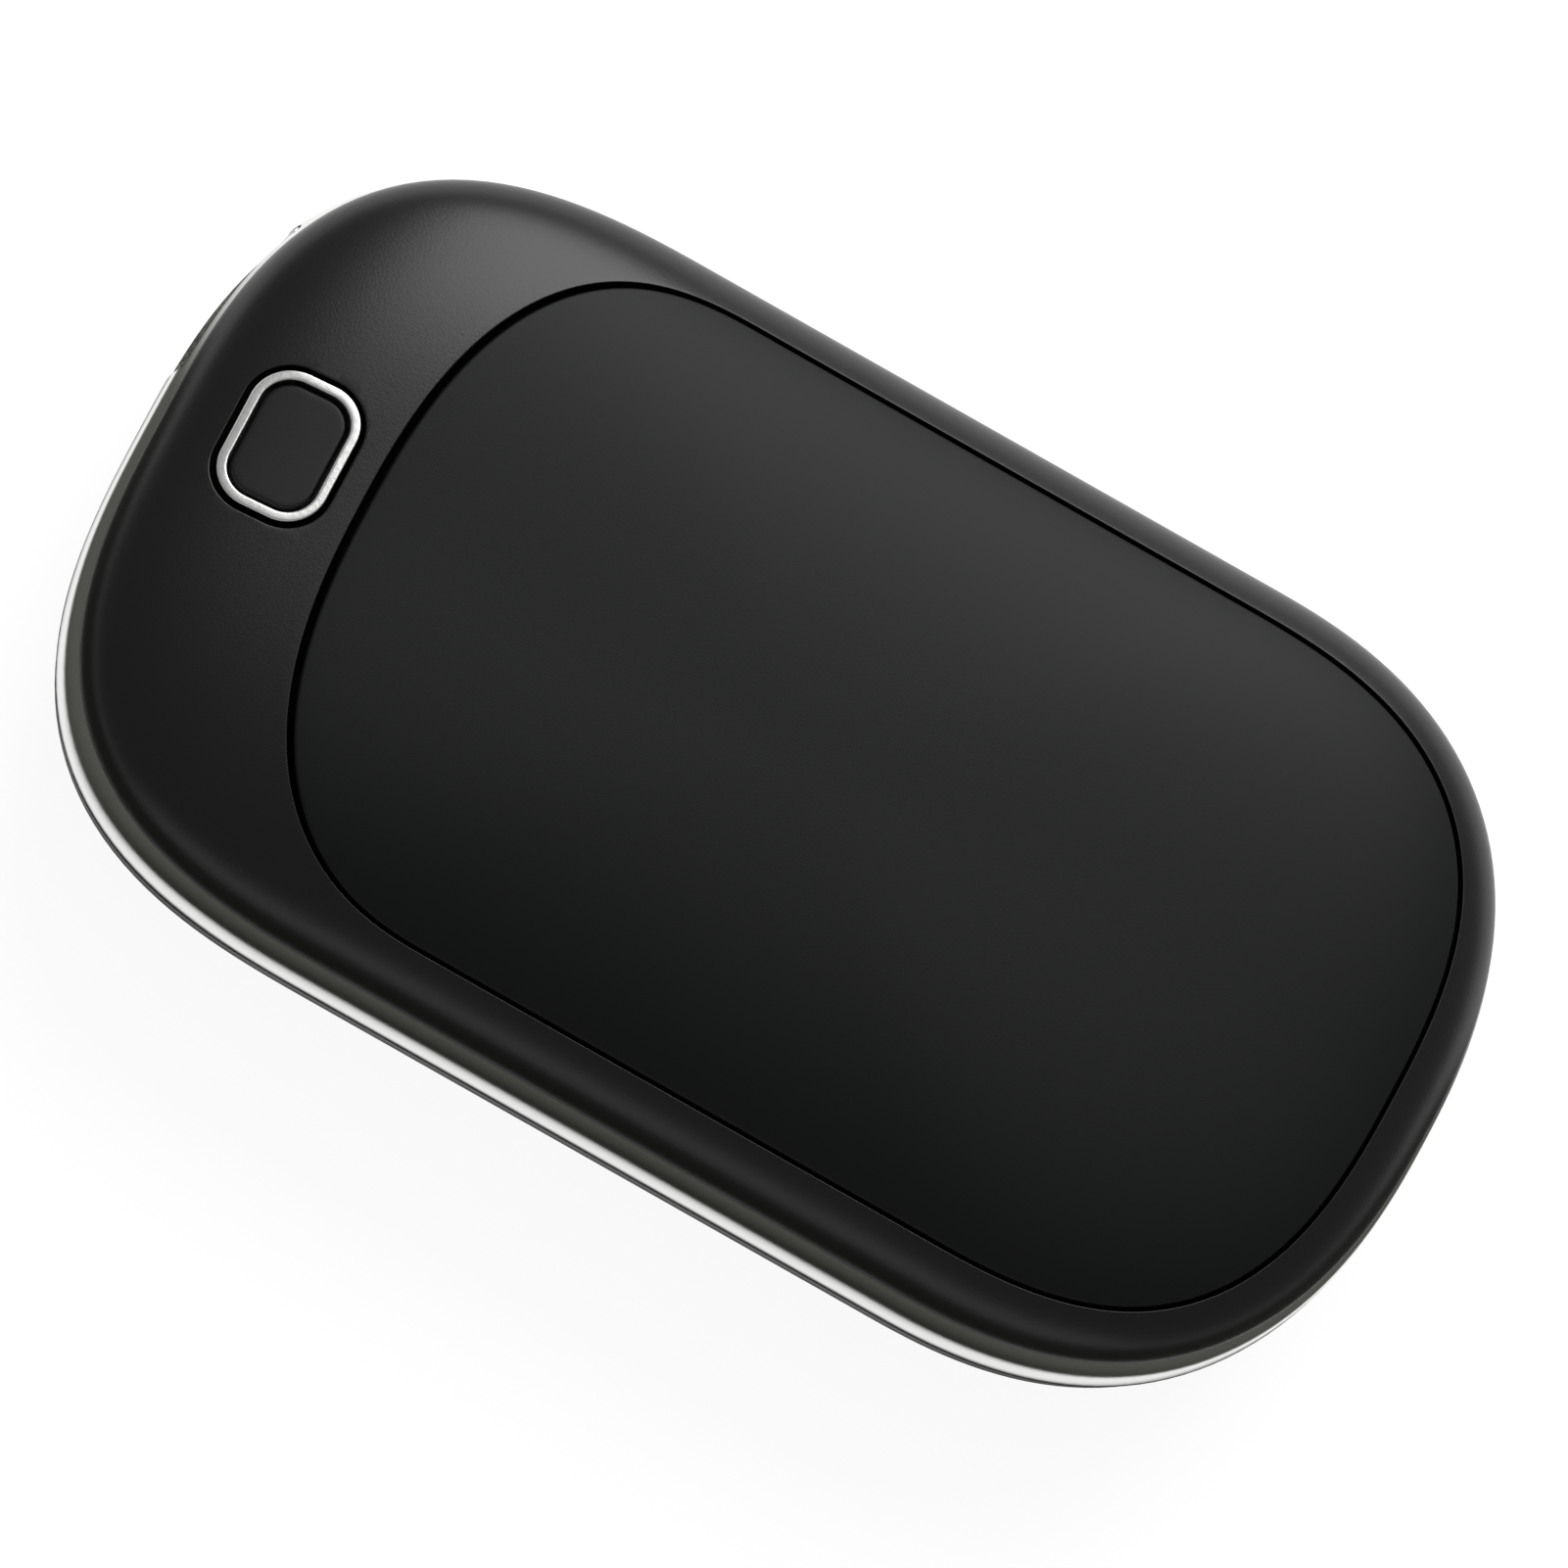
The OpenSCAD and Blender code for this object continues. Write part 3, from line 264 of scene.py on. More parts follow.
def rounded_box(x, y, half_x, half_y, r):
    """Rectangle with rounded corners, counterclockwise. Its halves reach to the corners' centres."""
    loop = []
    for c, (sx, sy) in enumerate([(1, 1), (-1, 1), (-1, -1), (1, -1)]):
        turn = (c + np.linspace(0, 1, corner_steps + 1)) * math.pi / 2
        loop.append(np.column_stack([x + sx * half_x + r * np.cos(turn), y + sy * half_y + r * np.sin(turn)]))
    return np.vstack(loop)


def key_loop(g):
    """Outline of the button grown by g."""
    return rounded_box(button_x, button_y, key_l / 2 - key_r, key_w / 2 - key_r, key_r + g)


# ---- Meshes ---------------------------------------------------------------------------------

def mesh_object(name, parts, materials):
    """One object from parts, with its outside turned outwards.

    A part is its vertices in millimetres, its faces, and the numbers of the faces in the second material.
    """
    bm = bmesh.new()
    for vertices, faces, second in parts:
        made = [bm.verts.new(v * MM) for v in vertices]
        for number, face in enumerate(faces):
            bm.faces.new([made[i] for i in face]).material_index = number in second
    bmesh.ops.recalc_face_normals(bm, faces=bm.faces)
    mesh = bpy.data.meshes.new(name)
    bm.to_mesh(mesh)
    bm.free()
    for material in materials:
        mesh.materials.append(material)
    piece = bpy.data.objects.new(name, mesh)
    bpy.context.scene.collection.objects.link(piece)
    return piece


def grid_faces(rows, columns, closed):
    """Faces between closed loops that follow each other, and from the last to the first if closed."""
    return [(k % rows * columns + i, k % rows * columns + (i + 1) % columns,
             (k + 1) % rows * columns + (i + 1) % columns, (k + 1) % rows * columns + i)
            for k in range(rows if closed else rows - 1) for i in range(columns)]


def between(loops, first, last):
    """Numbers of the faces from one loop to a later one."""
    return range(first * len(loops[0]), last * len(loops[0]))


def swept(loops, first=0, last=0):
    """A ring of one closed section round the body, in its second material from one loop to another."""
    return np.vstack(loops), grid_faces(len(loops), len(loops[0]), True), between(loops, first, last)


def skinned(loops, first=0, last=0):
    """A solid skinned over loops from its bottom to its top, closed by a flat fan at each end."""
    n, m = len(loops[0]), len(loops)
    ends = [loops[0].mean(axis=0), loops[-1].mean(axis=0)]
    fans = [(m * n, (i + 1) % n, i) for i in range(n)]
    fans += [(m * n + 1, (m - 1) * n + i, (m - 1) * n + (i + 1) % n) for i in range(n)]
    return np.vstack(loops + [np.array(ends)]), grid_faces(m, n, False) + fans, between(loops, first, last)


def flipped(part):
    """The same part turned over into the lower half."""
    vertices, faces, second = part
    return vertices * (1, 1, -1) + (0, 0, 2 * waist_z), faces, second


def upright(loop, bottom, top):
    """A prism on a plan outline."""
    return skinned([level(loop, bottom), level(loop, top)])


def window(low, high, gap, r, side):
    """Cutter of a rounded opening round the box of a port, along X or, for the long side, along Y."""
    across = 0 if side else 1
    start, depth = (half_w + over, -over_port) if side else (-half_l - over, over_port)
    middle = [(a + b) / 2 / MM for a, b in zip(low, high)]
    half = [(b - a) / 2 / MM + gap - r for a, b in zip(low, high)]
    loop = rounded_box(middle[across], middle[2], half[across], half[2], r)
    ends = [np.insert(loop, 1 - across, at, axis=1) for at in (start, start + depth)]
    # The opening's wall takes the piece's second material, which in the shells is flat black painted shade
    return skinned(ends, 0, 1)


def carve(piece, parts):
    """Cuts parts out of a piece and leaves a plain mesh."""
    cutter = mesh_object("cutter", parts, piece.data.materials)
    cut = piece.modifiers.new("cut", "BOOLEAN")
    cut.operation, cut.solver, cut.object = "DIFFERENCE", "EXACT", cutter
    made = piece.evaluated_get(bpy.context.evaluated_depsgraph_get())
    mesh = bpy.data.meshes.new_from_object(made)
    piece.modifiers.clear()
    piece.data = mesh
    bpy.data.objects.remove(cutter)


def joined(piece, parts):
    """Adds parts that reach into the walls of a piece to its mesh."""
    extra = mesh_object("extra", parts, piece.data.materials)
    bm = bmesh.new()
    bm.from_mesh(piece.data)
    bm.from_mesh(extra.data)
    bm.to_mesh(piece.data)
    bm.free()
    bpy.data.objects.remove(extra)


def finished(piece, body, slot, *nodes):
    """Smooths a piece and ties it to the frame."""
    piece.data.shade_smooth()
    piece.data.set_sharp_from_angle(angle=math.radians(sharp_angle))
    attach(piece, body)
    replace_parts(piece, *nodes)


# ---- Materials ------------------------------------------------------------------------------

def plug(tree, made, values, links):
    """Sets some inputs of a node and links others from outputs."""
    for socket, value in values.items():
        made.inputs[socket].default_value = value
    for socket, output in links.items():
        tree.links.new(output, made.inputs[socket])


def add_node(tree, kind, values=None, links=None, **settings):
    """Adds a node to a tree, with its settings, its values and its links from outputs."""
    made = tree.nodes.new("ShaderNode" + kind)
    for setting, value in settings.items():
        setattr(made, setting, value)
    plug(tree, made, values or {}, links or {})
    return made


# Shared by all finishes: detail of the clouds, how much of the gloss follows the grain, and the grain's
# depth as a share of its size. Then each kind of grain, with the output that it is read from.
cloud_detail, grain_in_gloss, grain_depth = 4, 0.4, 0.5
GRAINS = {
    "NOISE": ("TexNoise", "Fac", {"Detail": 3}),
    "VORONOI": ("TexVoronoi", "Distance", {}),
    "WAVE": ("TexWave", "Fac", {"Distortion": 0.6}),
}


def finish(name, colour, worn, roughness, spread=0.06, metallic=0.0, grain=3000.0, bump=0.05,
           cloud=60.0, specular=0.5, coat=0.0, texture="NOISE"):
    """A material whose colour and gloss vary in soft clouds, with a fine grain in its surface.

    grain and cloud are features a metre; spread is how far the roughness varies each way.
    """
    material = bpy.data.materials.new(name)
    material.use_nodes = True
    tree = material.node_tree
    node = functools.partial(add_node, tree)
    place = node("TexCoord").outputs["Object"]
    clouds = node("TexNoise", {"Scale": cloud, "Detail": cloud_detail}, {"Vector": place}).outputs["Fac"]
    tint = node("Mix", {"A": (*colour, 1), "B": (*worn, 1)}, {"Factor": clouds}, data_type="RGBA")
    kind, output, values = GRAINS[texture]
    height = node(kind, {"Scale": grain, **values}, {"Vector": place}).outputs[output]
    blend = node("Mix", {"Factor": grain_in_gloss}, {"A": clouds, "B": height})
    gloss = node("MapRange", {"To Min": roughness - spread, "To Max": roughness + spread},
                 {"Value": blend.outputs["Result"]})
    relief = node("Bump", {"Strength": bump, "Distance": grain_depth / grain}, {"Height": height})
    plug(tree, tree.nodes["Principled BSDF"],
         {"Metallic": metallic, "Specular IOR Level": specular, "Coat Weight": coat},
         {"Base Color": tint.outputs["Result"], "Roughness": gloss.outputs["Result"],
          "Normal": relief.outputs["Normal"]})
    return material


soft_touch = finish("soft_touch_shell", (0.0036, 0.0038, 0.0035), (0.0046, 0.0048, 0.0044),
                    0.32, 0.04, grain=5200, bump=0.10, cloud=45)
plate_satin = finish("satin_plate", (0.0024, 0.0042, 0.0032), (0.0034, 0.0052, 0.0042),
                     0.50, 0.03, grain=6500, bump=0.08, cloud=30, specular=0.25)
key_satin = finish("satin_key", (0.0060, 0.0062, 0.0061), (0.0075, 0.0077, 0.0076),
                   0.5, 0.04, grain=6500, bump=0.08, cloud=160, specular=0.35)
band_chrome = finish("band_chrome", (0.78, 0.78, 0.76), (0.84, 0.84, 0.82),
                     0.10, 0.03, metallic=1, grain=2400, bump=0.02, cloud=120)
ring_chrome = finish("ring_chrome", (0.98, 0.98, 0.97), (0.92, 0.92, 0.91),
                     0.34, 0.06, metallic=1, grain=2600, bump=0.08, cloud=700)
# Flat black without gloss, painted shade for the pocket's groove, the button's well, the walls of the port
# openings and the ring's foot
shadow_black = finish("painted_shade_black", (0.0012, 0.0012, 0.0012), (0.0018, 0.0018, 0.0018),
                      0.85, 0.03, grain=3000, bump=0.1, specular=0.03)

# Finishes of the solids that stay, by a part of their names
INNER = {
    "plate_tape": finish("tape", (0.035, 0.034, 0.030), (0.050, 0.048, 0.043), 0.6, grain=1800, bump=0.2),
    "heater_film": finish("film", (0.42, 0.16, 0.035), (0.36, 0.13, 0.03), 0.22, grain=320, bump=0.35,
                          coat=0.3, texture="WAVE"),
    "foam_pad": finish("foam", (0.13, 0.14, 0.15), (0.17, 0.18, 0.19), 0.9, grain=2600, bump=0.9,
                       texture="VORONOI"),
    "tact_switch": finish("switch_body", (0.022, 0.023, 0.025), (0.03, 0.031, 0.033), 0.42, grain=2600),
    "switch_plunger": finish("plunger", (0.58, 0.54, 0.46), (0.63, 0.59, 0.51), 0.4, grain=2600),
    "main_circuit_board": finish("solder_mask", (0.012, 0.095, 0.038), (0.016, 0.12, 0.05), 0.28,
                                 grain=900, bump=0.12, coat=0.4, texture="WAVE"),
    "port_shell": finish("port_steel", (0.60, 0.61, 0.62), (0.52, 0.53, 0.54), 0.26, metallic=1, grain=1800),
    "charge_port_tongue": finish("tongue_black", (0.012, 0.012, 0.012), (0.02, 0.02, 0.02), 0.45, grain=2600),
    "outlet_port_tongue": finish("tongue_white", (0.74, 0.74, 0.70), (0.80, 0.80, 0.77), 0.4, grain=2600),
    "outlet_port_contacts": finish("contact_gold", (0.80, 0.55, 0.20), (0.72, 0.48, 0.18), 0.22,
                                   metallic=1, grain=2400),
    "controller_chip": finish("chip_resin", (0.012, 0.0125, 0.013), (0.018, 0.0185, 0.019), 0.55,
                              grain=3600, bump=0.2),
    "boost_inductor": finish("ferrite", (0.045, 0.047, 0.05), (0.06, 0.062, 0.066), 0.5,
                             grain=2200, bump=0.25),
    "board_capacitors": finish("can_sleeve", (0.34, 0.36, 0.39), (0.42, 0.44, 0.47), 0.3,
                               metallic=0.9, grain=1800),
    "heater_transistors": finish("transistor_resin", (0.012, 0.0125, 0.0135), (0.018, 0.0185, 0.02), 0.5,
                                 grain=3600, bump=0.2),
    "status_leds": finish("lamp_lens", (0.86, 0.80, 0.62), (0.90, 0.86, 0.70), 0.2, grain=2600),
    "battery_cell": finish("cell_wrap", (0.05, 0.17, 0.34), (0.06, 0.20, 0.39), 0.25, grain=700, coat=0.3),
    "battery_sleeve": finish("shrink_sleeve", (0.014, 0.05, 0.16), (0.018, 0.06, 0.19), 0.2, grain=500,
                             bump=0.15, coat=0.5),
    "cell_strip": finish("nickel_strip", (0.62, 0.61, 0.58), (0.54, 0.53, 0.50), 0.3, metallic=1,
                         grain=1200, texture="WAVE"),
    "battery_lead_positive": finish("wire_red", (0.50, 0.022, 0.016), (0.57, 0.03, 0.022), 0.35, grain=1600),
    "battery_lead_negative": finish("wire_black", (0.012, 0.012, 0.012), (0.02, 0.02, 0.02), 0.35,
                                    grain=1600),
    "heater_leads": finish("wire_white", (0.68, 0.65, 0.57), (0.74, 0.71, 0.63), 0.4, grain=1600),
    "heater_thermistors": finish("bead_epoxy", (0.020, 0.020, 0.022), (0.03, 0.03, 0.032), 0.3, grain=1600),
    "screws": finish("screw_steel", (0.30, 0.31, 0.33), (0.24, 0.25, 0.27), 0.34, metallic=1, grain=2000),
}


# ---- Half shells ----------------------------------------------------------------------------

def shell_wall(male):
    """Outer skin, plate pocket, ledge, lining and lip of a half shell, as in the solids.

    Only the male half has the tongue. The pocket's wall and ledge take the second material, a flat black that
    paints the groove's shade.
    """
    lip_out = band_t - band_proud + 2 * FIT
    tongue_t = (wall - lip_out) * tongue_share
    outer, inner, lip = rim(0), rim(wall), rim(lip_out)
    step = rim(wall - tongue_t - (0 if male else 2 * FIT))
    deep = -tongue_h if male else tongue_h + 2 * FIT
    pocket, ledge = plate_loop(groove, groove_nose), plate_loop(-ledge_w, -ledge_w)
    brink = plate_loop(groove + pocket_round, groove_nose + pocket_round)
    top = band_h / 2

    # The loops lie closer together towards the rim, where the crown is steep
    skin = [on_crown(mix(outer, brink, (k / skin_steps) ** 2)) for k in range(1, skin_steps + 1)]
    skin = [loop for loop in skin if loop[:, 2].min() > waist_z + top + rim_round]
    loops = eased(raised(lip, top), raised(outer, top), raised(outer, top + over), rim_round)
    loops += skin[:-1]
    loops += eased(skin[-1], on_crown(pocket), on_crown(pocket, dz=-over), pocket_round)
    brow = len(loops) - 1
    loops += [raised(pocket, ledge_top(pocket)), raised(ledge, ledge_top(ledge))]
    for k in range(inner_steps + 1):
        p = mix(inner, ledge, (1 - k / inner_steps) ** 2)
        loops.append(raised(p, lining(p)))
    loops += [raised(inner, deep), raised(step, deep), raised(step, FIT), raised(lip, FIT), raised(lip, top)]
    return swept(loops, brow, brow + 2)


def well_cutter():
    """The button's well, with an eased mouth that follows the crown. Its wall takes a flat black that paints
    the well's shade.
    """
    wide, wider = key_loop(well_out), key_loop(well_out + well_round)
    loops = [level(wide, seat_z)]
    loops += eased(on_crown(wide, dz=-over), on_crown(wide), on_crown(wider), well_round)
    loops += [on_crown(wider, dz=well_lift), on_crown(wider, dz=over)]
    return skinned(loops, 0, 1)


# The button's heights, down from the crown at the front of its well
well_front = np.array([[button_margin - half_l, button_y]])
seat_z = waist_z + crown(well_front, 0, shell_crown)[0] - seat_depth
flange_z = seat_z - FIT - flange_t
plunger_top = flange_z - post_l - FIT
collar_z = flange_z - key_travel - collar_drop


def collar():
    """Step round the key's flange that the ring sits on."""
    inner, mouth, outer = key_loop(flange_w + 2 * FIT), key_loop(well_out), key_loop(well_out + collar_w)
    inside_wall = -seat_depth / 2
    return swept([level(inner, collar_z), level(outer, collar_z), on_crown(outer, dz=inside_wall),
                  on_crown(mouth, dz=inside_wall), level(mouth, seat_z), level(inner, seat_z)])


def millimetres(name):
    """Lowest and highest corner of a solid."""
    return [np.array(corner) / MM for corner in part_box(name)]


# Middles of the bosses and posts, from the boxes of the screws that they hold
screws_low, screws_high = millimetres("shell_screws")
nose_boss = (screws_low[0] + screw_head_r, screws_high[1] - screw_head_r)
tail_boss = (screws_high[0] - screw_head_r, boss_tail_y)
bosses = [(x, y * side) for side in (-1, 1) for x, y in (nose_boss, tail_boss)]
pins_low, pins_high = millimetres("board_screws")
coil_x, coil_y = np.mean(millimetres("boost_inductor"), axis=0)[:2]
posts = [(pins_low[0] + post_head_r, coil_y), (coil_x, pins_low[1] + post_head_r),
         (pins_high[0] - post_head_r, pins_high[1] - post_head_r)]


def pillar(x, y, r, hole_r, mouth, hole_end):
    """Pillar with a blind hole, from the height of its mouth over the waist to inside the wall."""
    hole, outer = circle(x, y, hole_r), circle(x, y, r)
    return skinned([raised(hole, hole_end), raised(hole, mouth),
                    raised(outer, mouth), raised(outer, core(outer))])


def screw_tube(x, y):
    """Boss of the lower shell, bored for a screw and for its head."""
    outer, hole, head = (circle(x, y, r) for r in (boss_r, screw_r + 2 * FIT, screw_head_r + 2 * FIT))
    return swept([raised(outer, FIT), raised(outer, core(outer)), raised(head, core(head)),
                  raised(head, screw_seat), raised(hole, screw_seat), raised(hole, FIT)])


def rib(x, side):
    """Rib between the cells and the wall."""
    start, end = millimetres("battery_sleeve")[1][1] + rib_gap, half_w - wall + core_bite
    along = np.linspace(start, end, inner_steps + 1)
    there, back_again = [(x + rib_t / 2, y) for y in along], [(x - rib_t / 2, y) for y in along[::-1]]
    loop = np.array(there + back_again) * (1, side)
    return skinned([raised(loop, np.minimum(rib_low, core(loop))), raised(loop, rib_high)])


# The outlet's window stands round its tongue, past the sheet of the port's shell
windows = [window(*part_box("outlet_port_tongue"), FIT + port_t + port_gap, window_outlet_r, False),
           window(*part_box("charge_port_shell"), port_gap, window_charge_r, True)]

upper_shell = mesh_object("upper_shell_skin", [shell_wall(True)], [soft_touch, shadow_black])
carve(upper_shell, [well_cutter()])
carve(upper_shell, [upright(key_loop(flange_w + 2 * FIT), collar_z - collar_drop, seat_z + FIT)])
carve(upper_shell, windows)
joined(upper_shell, [collar()] + [
    pillar(x, y, boss_r, screw_r + FIT / 2, FIT, screw_l - screw_seat + screw_slack) for x, y in bosses])
finished(upper_shell, "housing", "shell_black", "upper_shell")

lower_shell = mesh_object("lower_shell_skin", [flipped(shell_wall(False))], [soft_touch, shadow_black])
carve(lower_shell, [flipped(opening) for opening in windows])
carve(lower_shell, [upright(circle(x, y, screw_head_r + 2 * FIT), -over, waist_z - screw_seat)
                    for x, y in bosses])
board_low, board_high = (corner[2] for corner in millimetres("main_circuit_board"))
cell_low, cell_high = (corner[0] for corner in millimetres("battery_cell_left"))
tubes = [screw_tube(x, y) for x, y in bosses]
stands = [pillar(x, y, post_r, post_screw_r + FIT / 2, waist_z - board_low,
                 waist_z - board_high + post_screw_l) for x, y in posts]
ribs = [rib(mix(cell_low, cell_high, share), side) for share in rib_shares for side in (-1, 1)]
joined(lower_shell, [flipped(part) for part in tubes + stands + ribs])
finished(lower_shell, "housing", "shell_black", "lower_shell")


# ---- Waist band -----------------------------------------------------------------------------

def band():
    """Chrome band that stands out past the shells and is barrelled towards its edges."""
    half = band_h / 2 - band_seam
    profile = [(band_sag * abs(t) ** band_exp - band_proud, half * t)
               for t in np.sin(np.linspace(-1, 1, 2 * band_steps + 1) * math.pi / 2)]
    inner = rim(band_t - band_proud)
    loops = [raised(rim(d), z) for d, z in profile]
    return swept(loops + [raised(inner, half), raised(inner, -half)])


waist_band = mesh_object("waist_band_skin", [band()], [band_chrome])
carve(waist_band, windows)
finished(waist_band, "housing", "band_chrome", "waist_band")


# ---- Heat plates ----------------------------------------------------------------------------

plate_edge = plate_loop(0, 0)
plate_mid = np.array([(plate_nose_gap - plate_tail_gap) / 2, 0.0])


def heat_plate(h):
    """Plate that follows a crown of the height h, with an eased edge."""
    def at(share, dz=0.0):
        return on_crown(mix(plate_mid, plate_edge, share), h, dz)
    shares = np.linspace(0, 1, plate_steps + 1)[1:]
    inward = 1 - 1 / plate_steps
    loops = [at(s, -plate_t) for s in shares]
    loops += eased(at(1, -plate_t), at(1), at(inward), plate_round)
    loops += [at(s) for s in shares[-2::-1]]
    return skinned(loops)


upper_plate = mesh_object("upper_heat_plate_skin", [heat_plate(plate_crown)], [plate_satin])
finished(upper_plate, "housing", "plate_black", "upper_heat_plate")

# The lower plate is fuller, and its middle is cut flat to stand on
vertices, faces, second = flipped(heat_plate(shell_crown))
vertices[:, 2] = np.maximum(vertices[:, 2], 0)
lower_plate = mesh_object("lower_heat_plate_skin", [(vertices, faces, second)], [plate_satin])
finished(lower_plate, "housing", "plate_black", "lower_heat_plate")


# ---- Button ---------------------------------------------------------------------------------

def ring():
    """Chrome ring whose foot on the collar's step takes a flat black that paints the shade in the gap."""
    inner, outer = key_loop(key_gap), key_loop(key_gap + ring_w)
    wide = key_loop(key_gap + ring_w + ring_gap - FIT)
    top_inner, top_outer = on_crown(inner, dz=ring_proud), on_crown(outer, dz=ring_proud)
    foot_z = seat_z + ring_foot_h
    foot = [level(inner, seat_z), level(wide, seat_z), level(wide, foot_z), level(outer, foot_z)]
    loops = foot + eased(level(outer, seat_z), top_outer, top_inner, ring_round)
    loops += eased(top_outer, top_inner, level(inner, seat_z), ring_round)
    return swept(loops, 0, len(foot))


button_ring = mesh_object("button_ring_skin", [ring()], [ring_chrome, shadow_black])
finished(button_ring, "housing", "ring_chrome", "button_ring")


def key():
    """Crowned key with an eased edge."""
    edge = key_loop(0)
    middle = np.array([button_x, button_y])
    inward = on_crown(mix(edge, middle, key_inward))
    loops = [level(edge, flange_z + flange_t / 2)]
    loops += eased(on_crown(edge, dz=-over), on_crown(edge), inward, key_round)
    loops += [on_crown(mix(edge, middle, s)) for s in np.linspace(key_first, key_last, key_steps)]
    return skinned(loops)


power_button = mesh_object("power_button_skin", [
    key(),
    upright(key_loop(flange_w), flange_z, flange_z + flange_t),
    upright(circle(button_x, button_y, post_d / 2), plunger_top + FIT, flange_z + flange_t / 2)], [key_satin])
finished(power_button, "button", "key_black", "power_button")


# ---- Finishes of the solids that stay -------------------------------------------------------

replaced = {n for piece in bpy.data.objects for n in piece.get("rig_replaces", [])}
for name, solid in frame["nodes"].items():
    if name in replaced:
        continue
    matching = [part for part in INNER if part in name]
    if matching:
        for slot in solid.material_slots:
            slot.material = INNER[matching[0]]


# ---- Floor, light and camera ----------------------------------------------------------------

paper_tone, table_tone, shadow_tone = (0.85, 0.85, 0.85), (0.14, 0.14, 0.13), (0.18, 0.18, 0.18)
white_share = 0.92
room_tone = (0.22, 0.22, 0.216)

# How mirror rays see the floor, by the distance in millimetres beyond the body, a rectangle rounded by
# corner_r: a painted contact shadow at its foot, then the sheet, the table, and a room that takes room_share
# of the dark away
corner_r = 22
contact_dark, contact_light = 0, 2.8
sheet_ends, table_starts = 3.6, 6.6
table_ends, room_starts, room_share = 60, 150, 0.6
# Y in millimetres from which the sheet goes on instead, and up to which it ends like that
back_starts, front_ends = 28, 8

# Half the floor's length, and how far it lies below the body, in metres
floor_half, floor_drop = 4.0, 0.00002
corners = [(-1, -1), (1, -1), (1, 1), (-1, 1)]
floor_mesh = bpy.data.meshes.new("floor")
floor_mesh.from_pydata([(x * floor_half, y * floor_half, -floor_drop) for x, y in corners],
                       [], [(0, 1, 2, 3)])
floor = bpy.data.objects.new("floor", floor_mesh)
bpy.context.scene.collection.objects.link(floor)

paper = bpy.data.materials.new("floor_paper")
paper.use_nodes = True
paper.node_tree.nodes.clear()
node = functools.partial(add_node, paper.node_tree)

# Diffuse rays see matt paper. The camera sees white, with a part of the object's shadow. Mirror rays see
# that white as a sheet that ends on a darker table, with a shadow painted by distance where the object
# stands.
matt = node("BsdfDiffuse", {"Color": (*paper_tone, 1)})
table = node("BsdfDiffuse", {"Color": (*table_tone, 1)})
shade = node("BsdfDiffuse", {"Color": (*shadow_tone, 1)})
glow = node("Emission", {"Strength": white_share})
white = node("AddShader", links={0: shade.outputs[0], 1: glow.outputs[0]})
place = node("TexCoord")
# Distance beyond the body, which is taken as a rounded rectangle
fold = node("VectorMath", links={0: place.outputs["Object"]}, operation="ABSOLUTE")
from_corner = node("VectorMath", {1: ((half_l - corner_r) * MM, (half_w - corner_r) * MM, 0)},
                   {0: fold.outputs["Vector"]}, operation="SUBTRACT")
past = node("VectorMath", {1: (0, 0, 0)}, {0: from_corner.outputs["Vector"]}, operation="MAXIMUM")
away = node("VectorMath", links={0: past.outputs["Vector"]}, operation="LENGTH")


def ramp(start, end):
    """Node that rises from 0 at the distance start beyond the body to 1 at the distance end."""
    return node("MapRange", {"From Min": (corner_r + start) * MM, "From Max": (corner_r + end) * MM},
                {"Value": away.outputs["Value"]}, interpolation_type="SMOOTHSTEP")


# Bare table shows beyond the sheet's end, in front of the object only, and less of it towards the room
split = node("SeparateXYZ", links={0: place.outputs["Object"]})
front = node("MapRange", {"From Min": back_starts * MM, "From Max": front_ends * MM},
             {"Value": split.outputs["Y"]}, interpolation_type="SMOOTHSTEP")
bare = node("Math", links={0: ramp(sheet_ends, table_starts).outputs["Result"], 1: front.outputs["Result"]},
            operation="MULTIPLY")
open_room = node("Math", {1: -room_share, 2: 1}, {0: ramp(table_ends, room_starts).outputs["Result"]},
                 operation="MULTIPLY_ADD")
dark = node("Math", links={0: bare.outputs[0], 1: open_room.outputs[0]}, operation="MULTIPLY")
# Painted contact shadow: towards the body's outline, mirror rays see the table's dark instead of the white,
# by distance alone
lit = node("Math", links={0: ramp(contact_dark, contact_light).outputs["Result"], 1: dark.outputs[0]},
           operation="SUBTRACT")
mirrored = node("MixShader", links={"Fac": lit.outputs[0], 1: table.outputs[0], 2: white.outputs[0]})
rays = node("LightPath")
backdrop = node("MixShader", links={"Fac": rays.outputs["Is Camera Ray"], 1: mirrored.outputs[0],
                                    2: white.outputs[0]})
mirror = node("Math", links={0: rays.outputs["Is Glossy Ray"], 1: rays.outputs["Is Transmission Ray"]},
              operation="MAXIMUM")
seen = node("Math", links={0: rays.outputs["Is Camera Ray"], 1: mirror.outputs[0]}, operation="MAXIMUM")
shown = node("MixShader", links={"Fac": seen.outputs[0], 1: matt.outputs[0], 2: backdrop.outputs[0]})
node("OutputMaterial", links={"Surface": shown.outputs[0]})
floor_mesh.materials.append(paper)

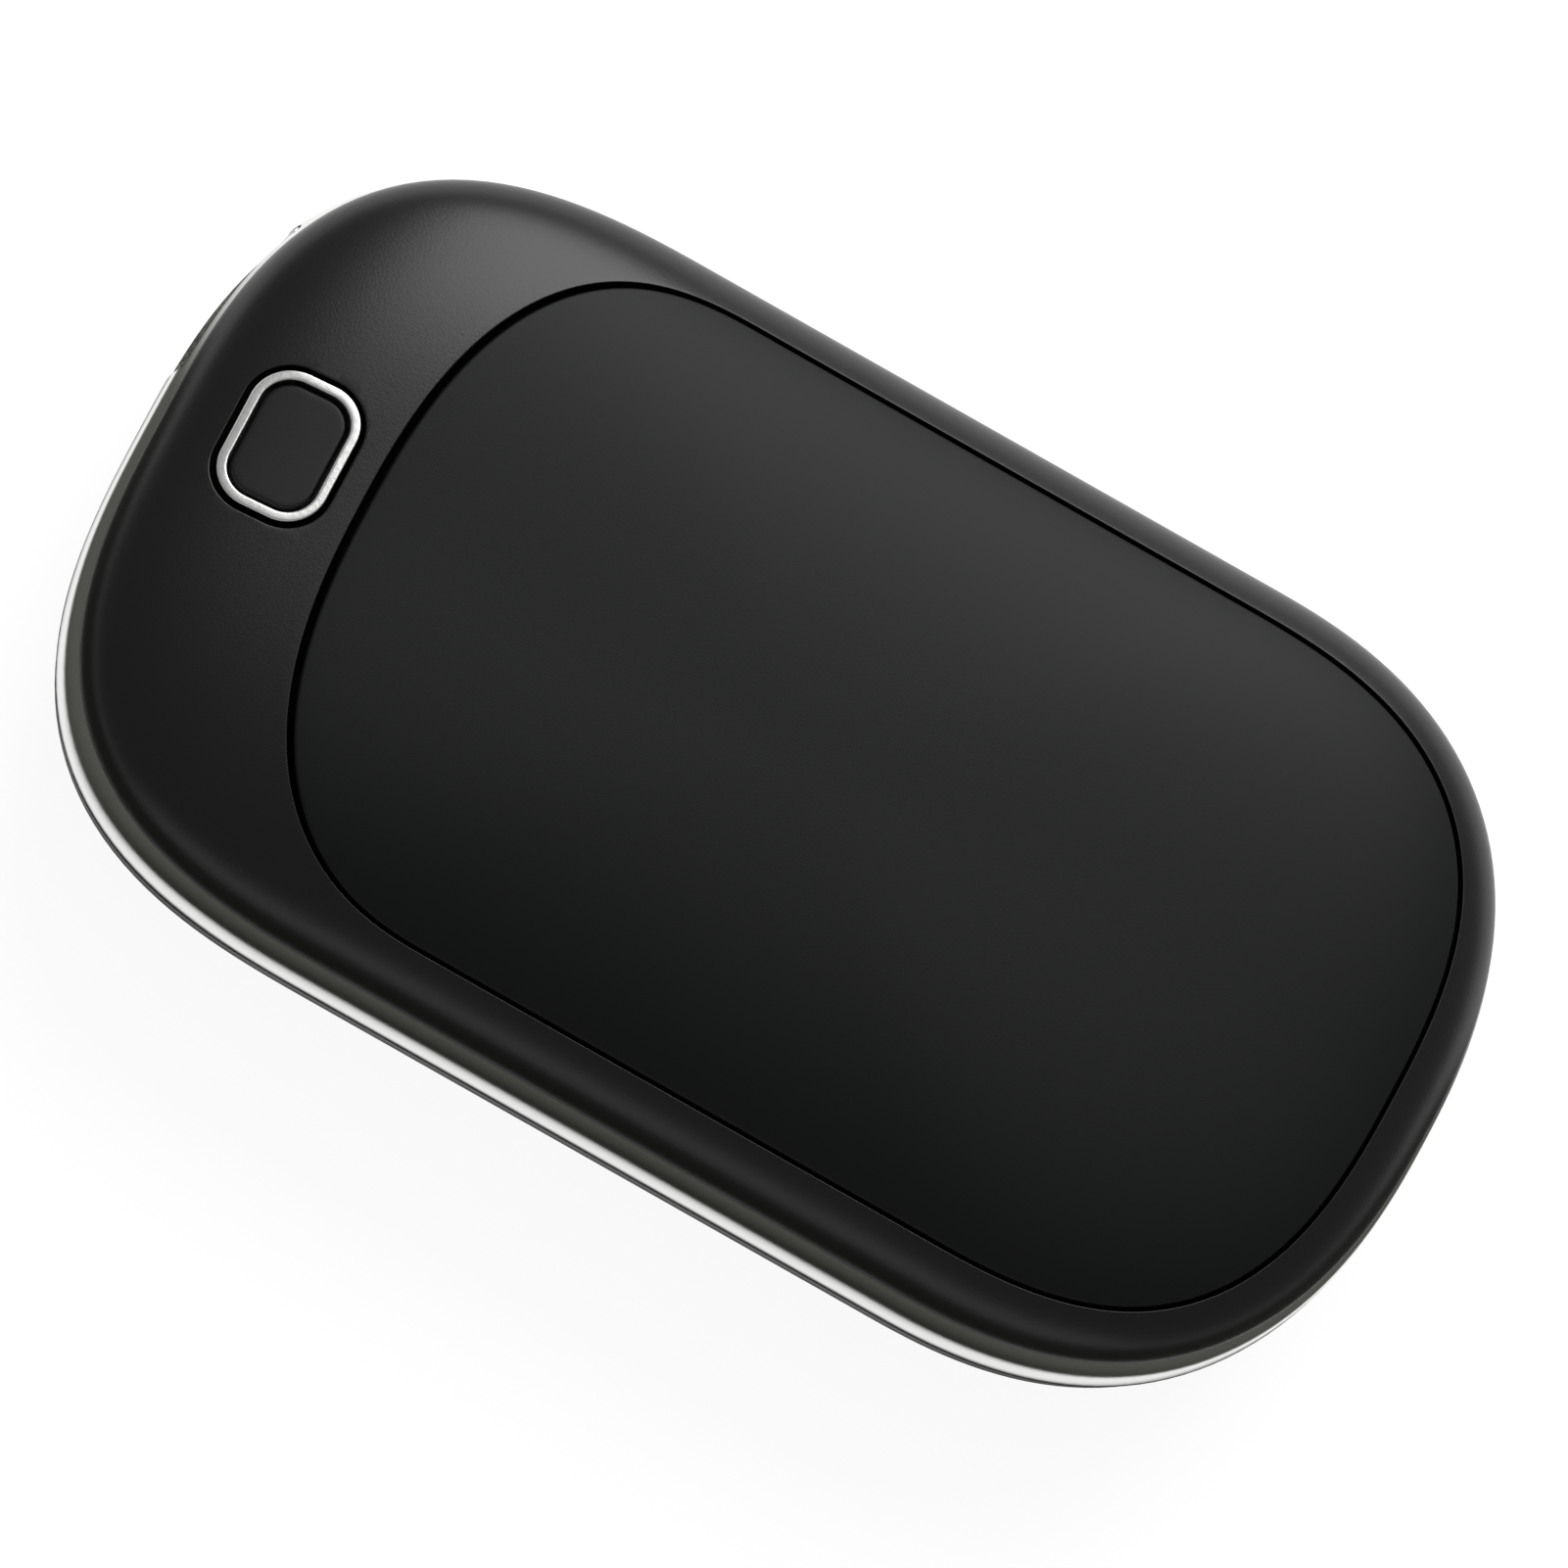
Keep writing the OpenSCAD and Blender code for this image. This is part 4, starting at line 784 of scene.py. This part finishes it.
# A dim studio that the camera sees as white
world = bpy.data.worlds.new("studio")
world.use_nodes = True
world.node_tree.nodes.clear()
world_node = functools.partial(add_node, world.node_tree)
room = world_node("Background", {"Color": (*room_tone, 1)})
clear = world_node("Background", {"Color": (1, 1, 1, 1)})
sight = world_node("LightPath").outputs["Is Camera Ray"]
around = world_node("MixShader", links={"Fac": sight, 1: room.outputs[0], 2: clear.outputs[0]})
world_node("OutputWorld", links={"Surface": around.outputs[0]})
bpy.context.scene.world = world


def softbox(name, direction, distance, width, height, power):
    """Rectangular lamp that looks at the body, in metres and watts."""
    lamp = bpy.data.lights.new(name, "AREA")
    lamp.shape, lamp.size, lamp.size_y, lamp.energy = "RECTANGLE", width, height, power
    holder = bpy.data.objects.new(name, lamp)
    bpy.context.scene.collection.objects.link(holder)
    direction = Vector(direction).normalized()
    holder.location = direction * distance
    holder.rotation_mode = "QUATERNION"
    holder.rotation_quaternion = direction.to_track_quat("Z", "Y")


softbox("key_light", direction=(0.0, 0.72, 0.68), distance=0.8, width=0.7, height=0.7, power=5.8)
softbox("fill_light", direction=(0.1, -0.97, 0.12), distance=0.8, width=1.2, height=0.3, power=0.6)

# The photo's view: its turns in degrees, how far its middle lies from the body's in millimetres, and the
# camera's distance and the width that it sees in metres
view_azimuth, view_elevation, view_roll = (math.radians(a) for a in (-17.2, 73.9, 46.07))
view_right, view_up = 0.232, 0.322
view_distance, view_width = 0.6, 0.11096

back = Vector((math.sin(view_azimuth) * math.cos(view_elevation),
               -math.cos(view_azimuth) * math.cos(view_elevation), math.sin(view_elevation)))
level_right = Vector((math.cos(view_azimuth), math.sin(view_azimuth), 0))
level_up = back.cross(level_right)
right = level_right * math.cos(view_roll) + level_up * math.sin(view_roll)
up = back.cross(right)
camera = bpy.data.cameras.new("camera")
camera.type = "ORTHO"
camera.ortho_scale = view_width
viewer = bpy.data.objects.new("camera", camera)
bpy.context.scene.collection.objects.link(viewer)
target = Vector((0, 0, waist_z)) * MM + right * view_right * MM + up * view_up * MM
turned = Matrix((right, up, back)).transposed().to_4x4()
viewer.matrix_world = Matrix.Translation(target + back * view_distance) @ turned
bpy.context.scene.camera = viewer
bpy.context.scene.view_settings.view_transform = "Standard"
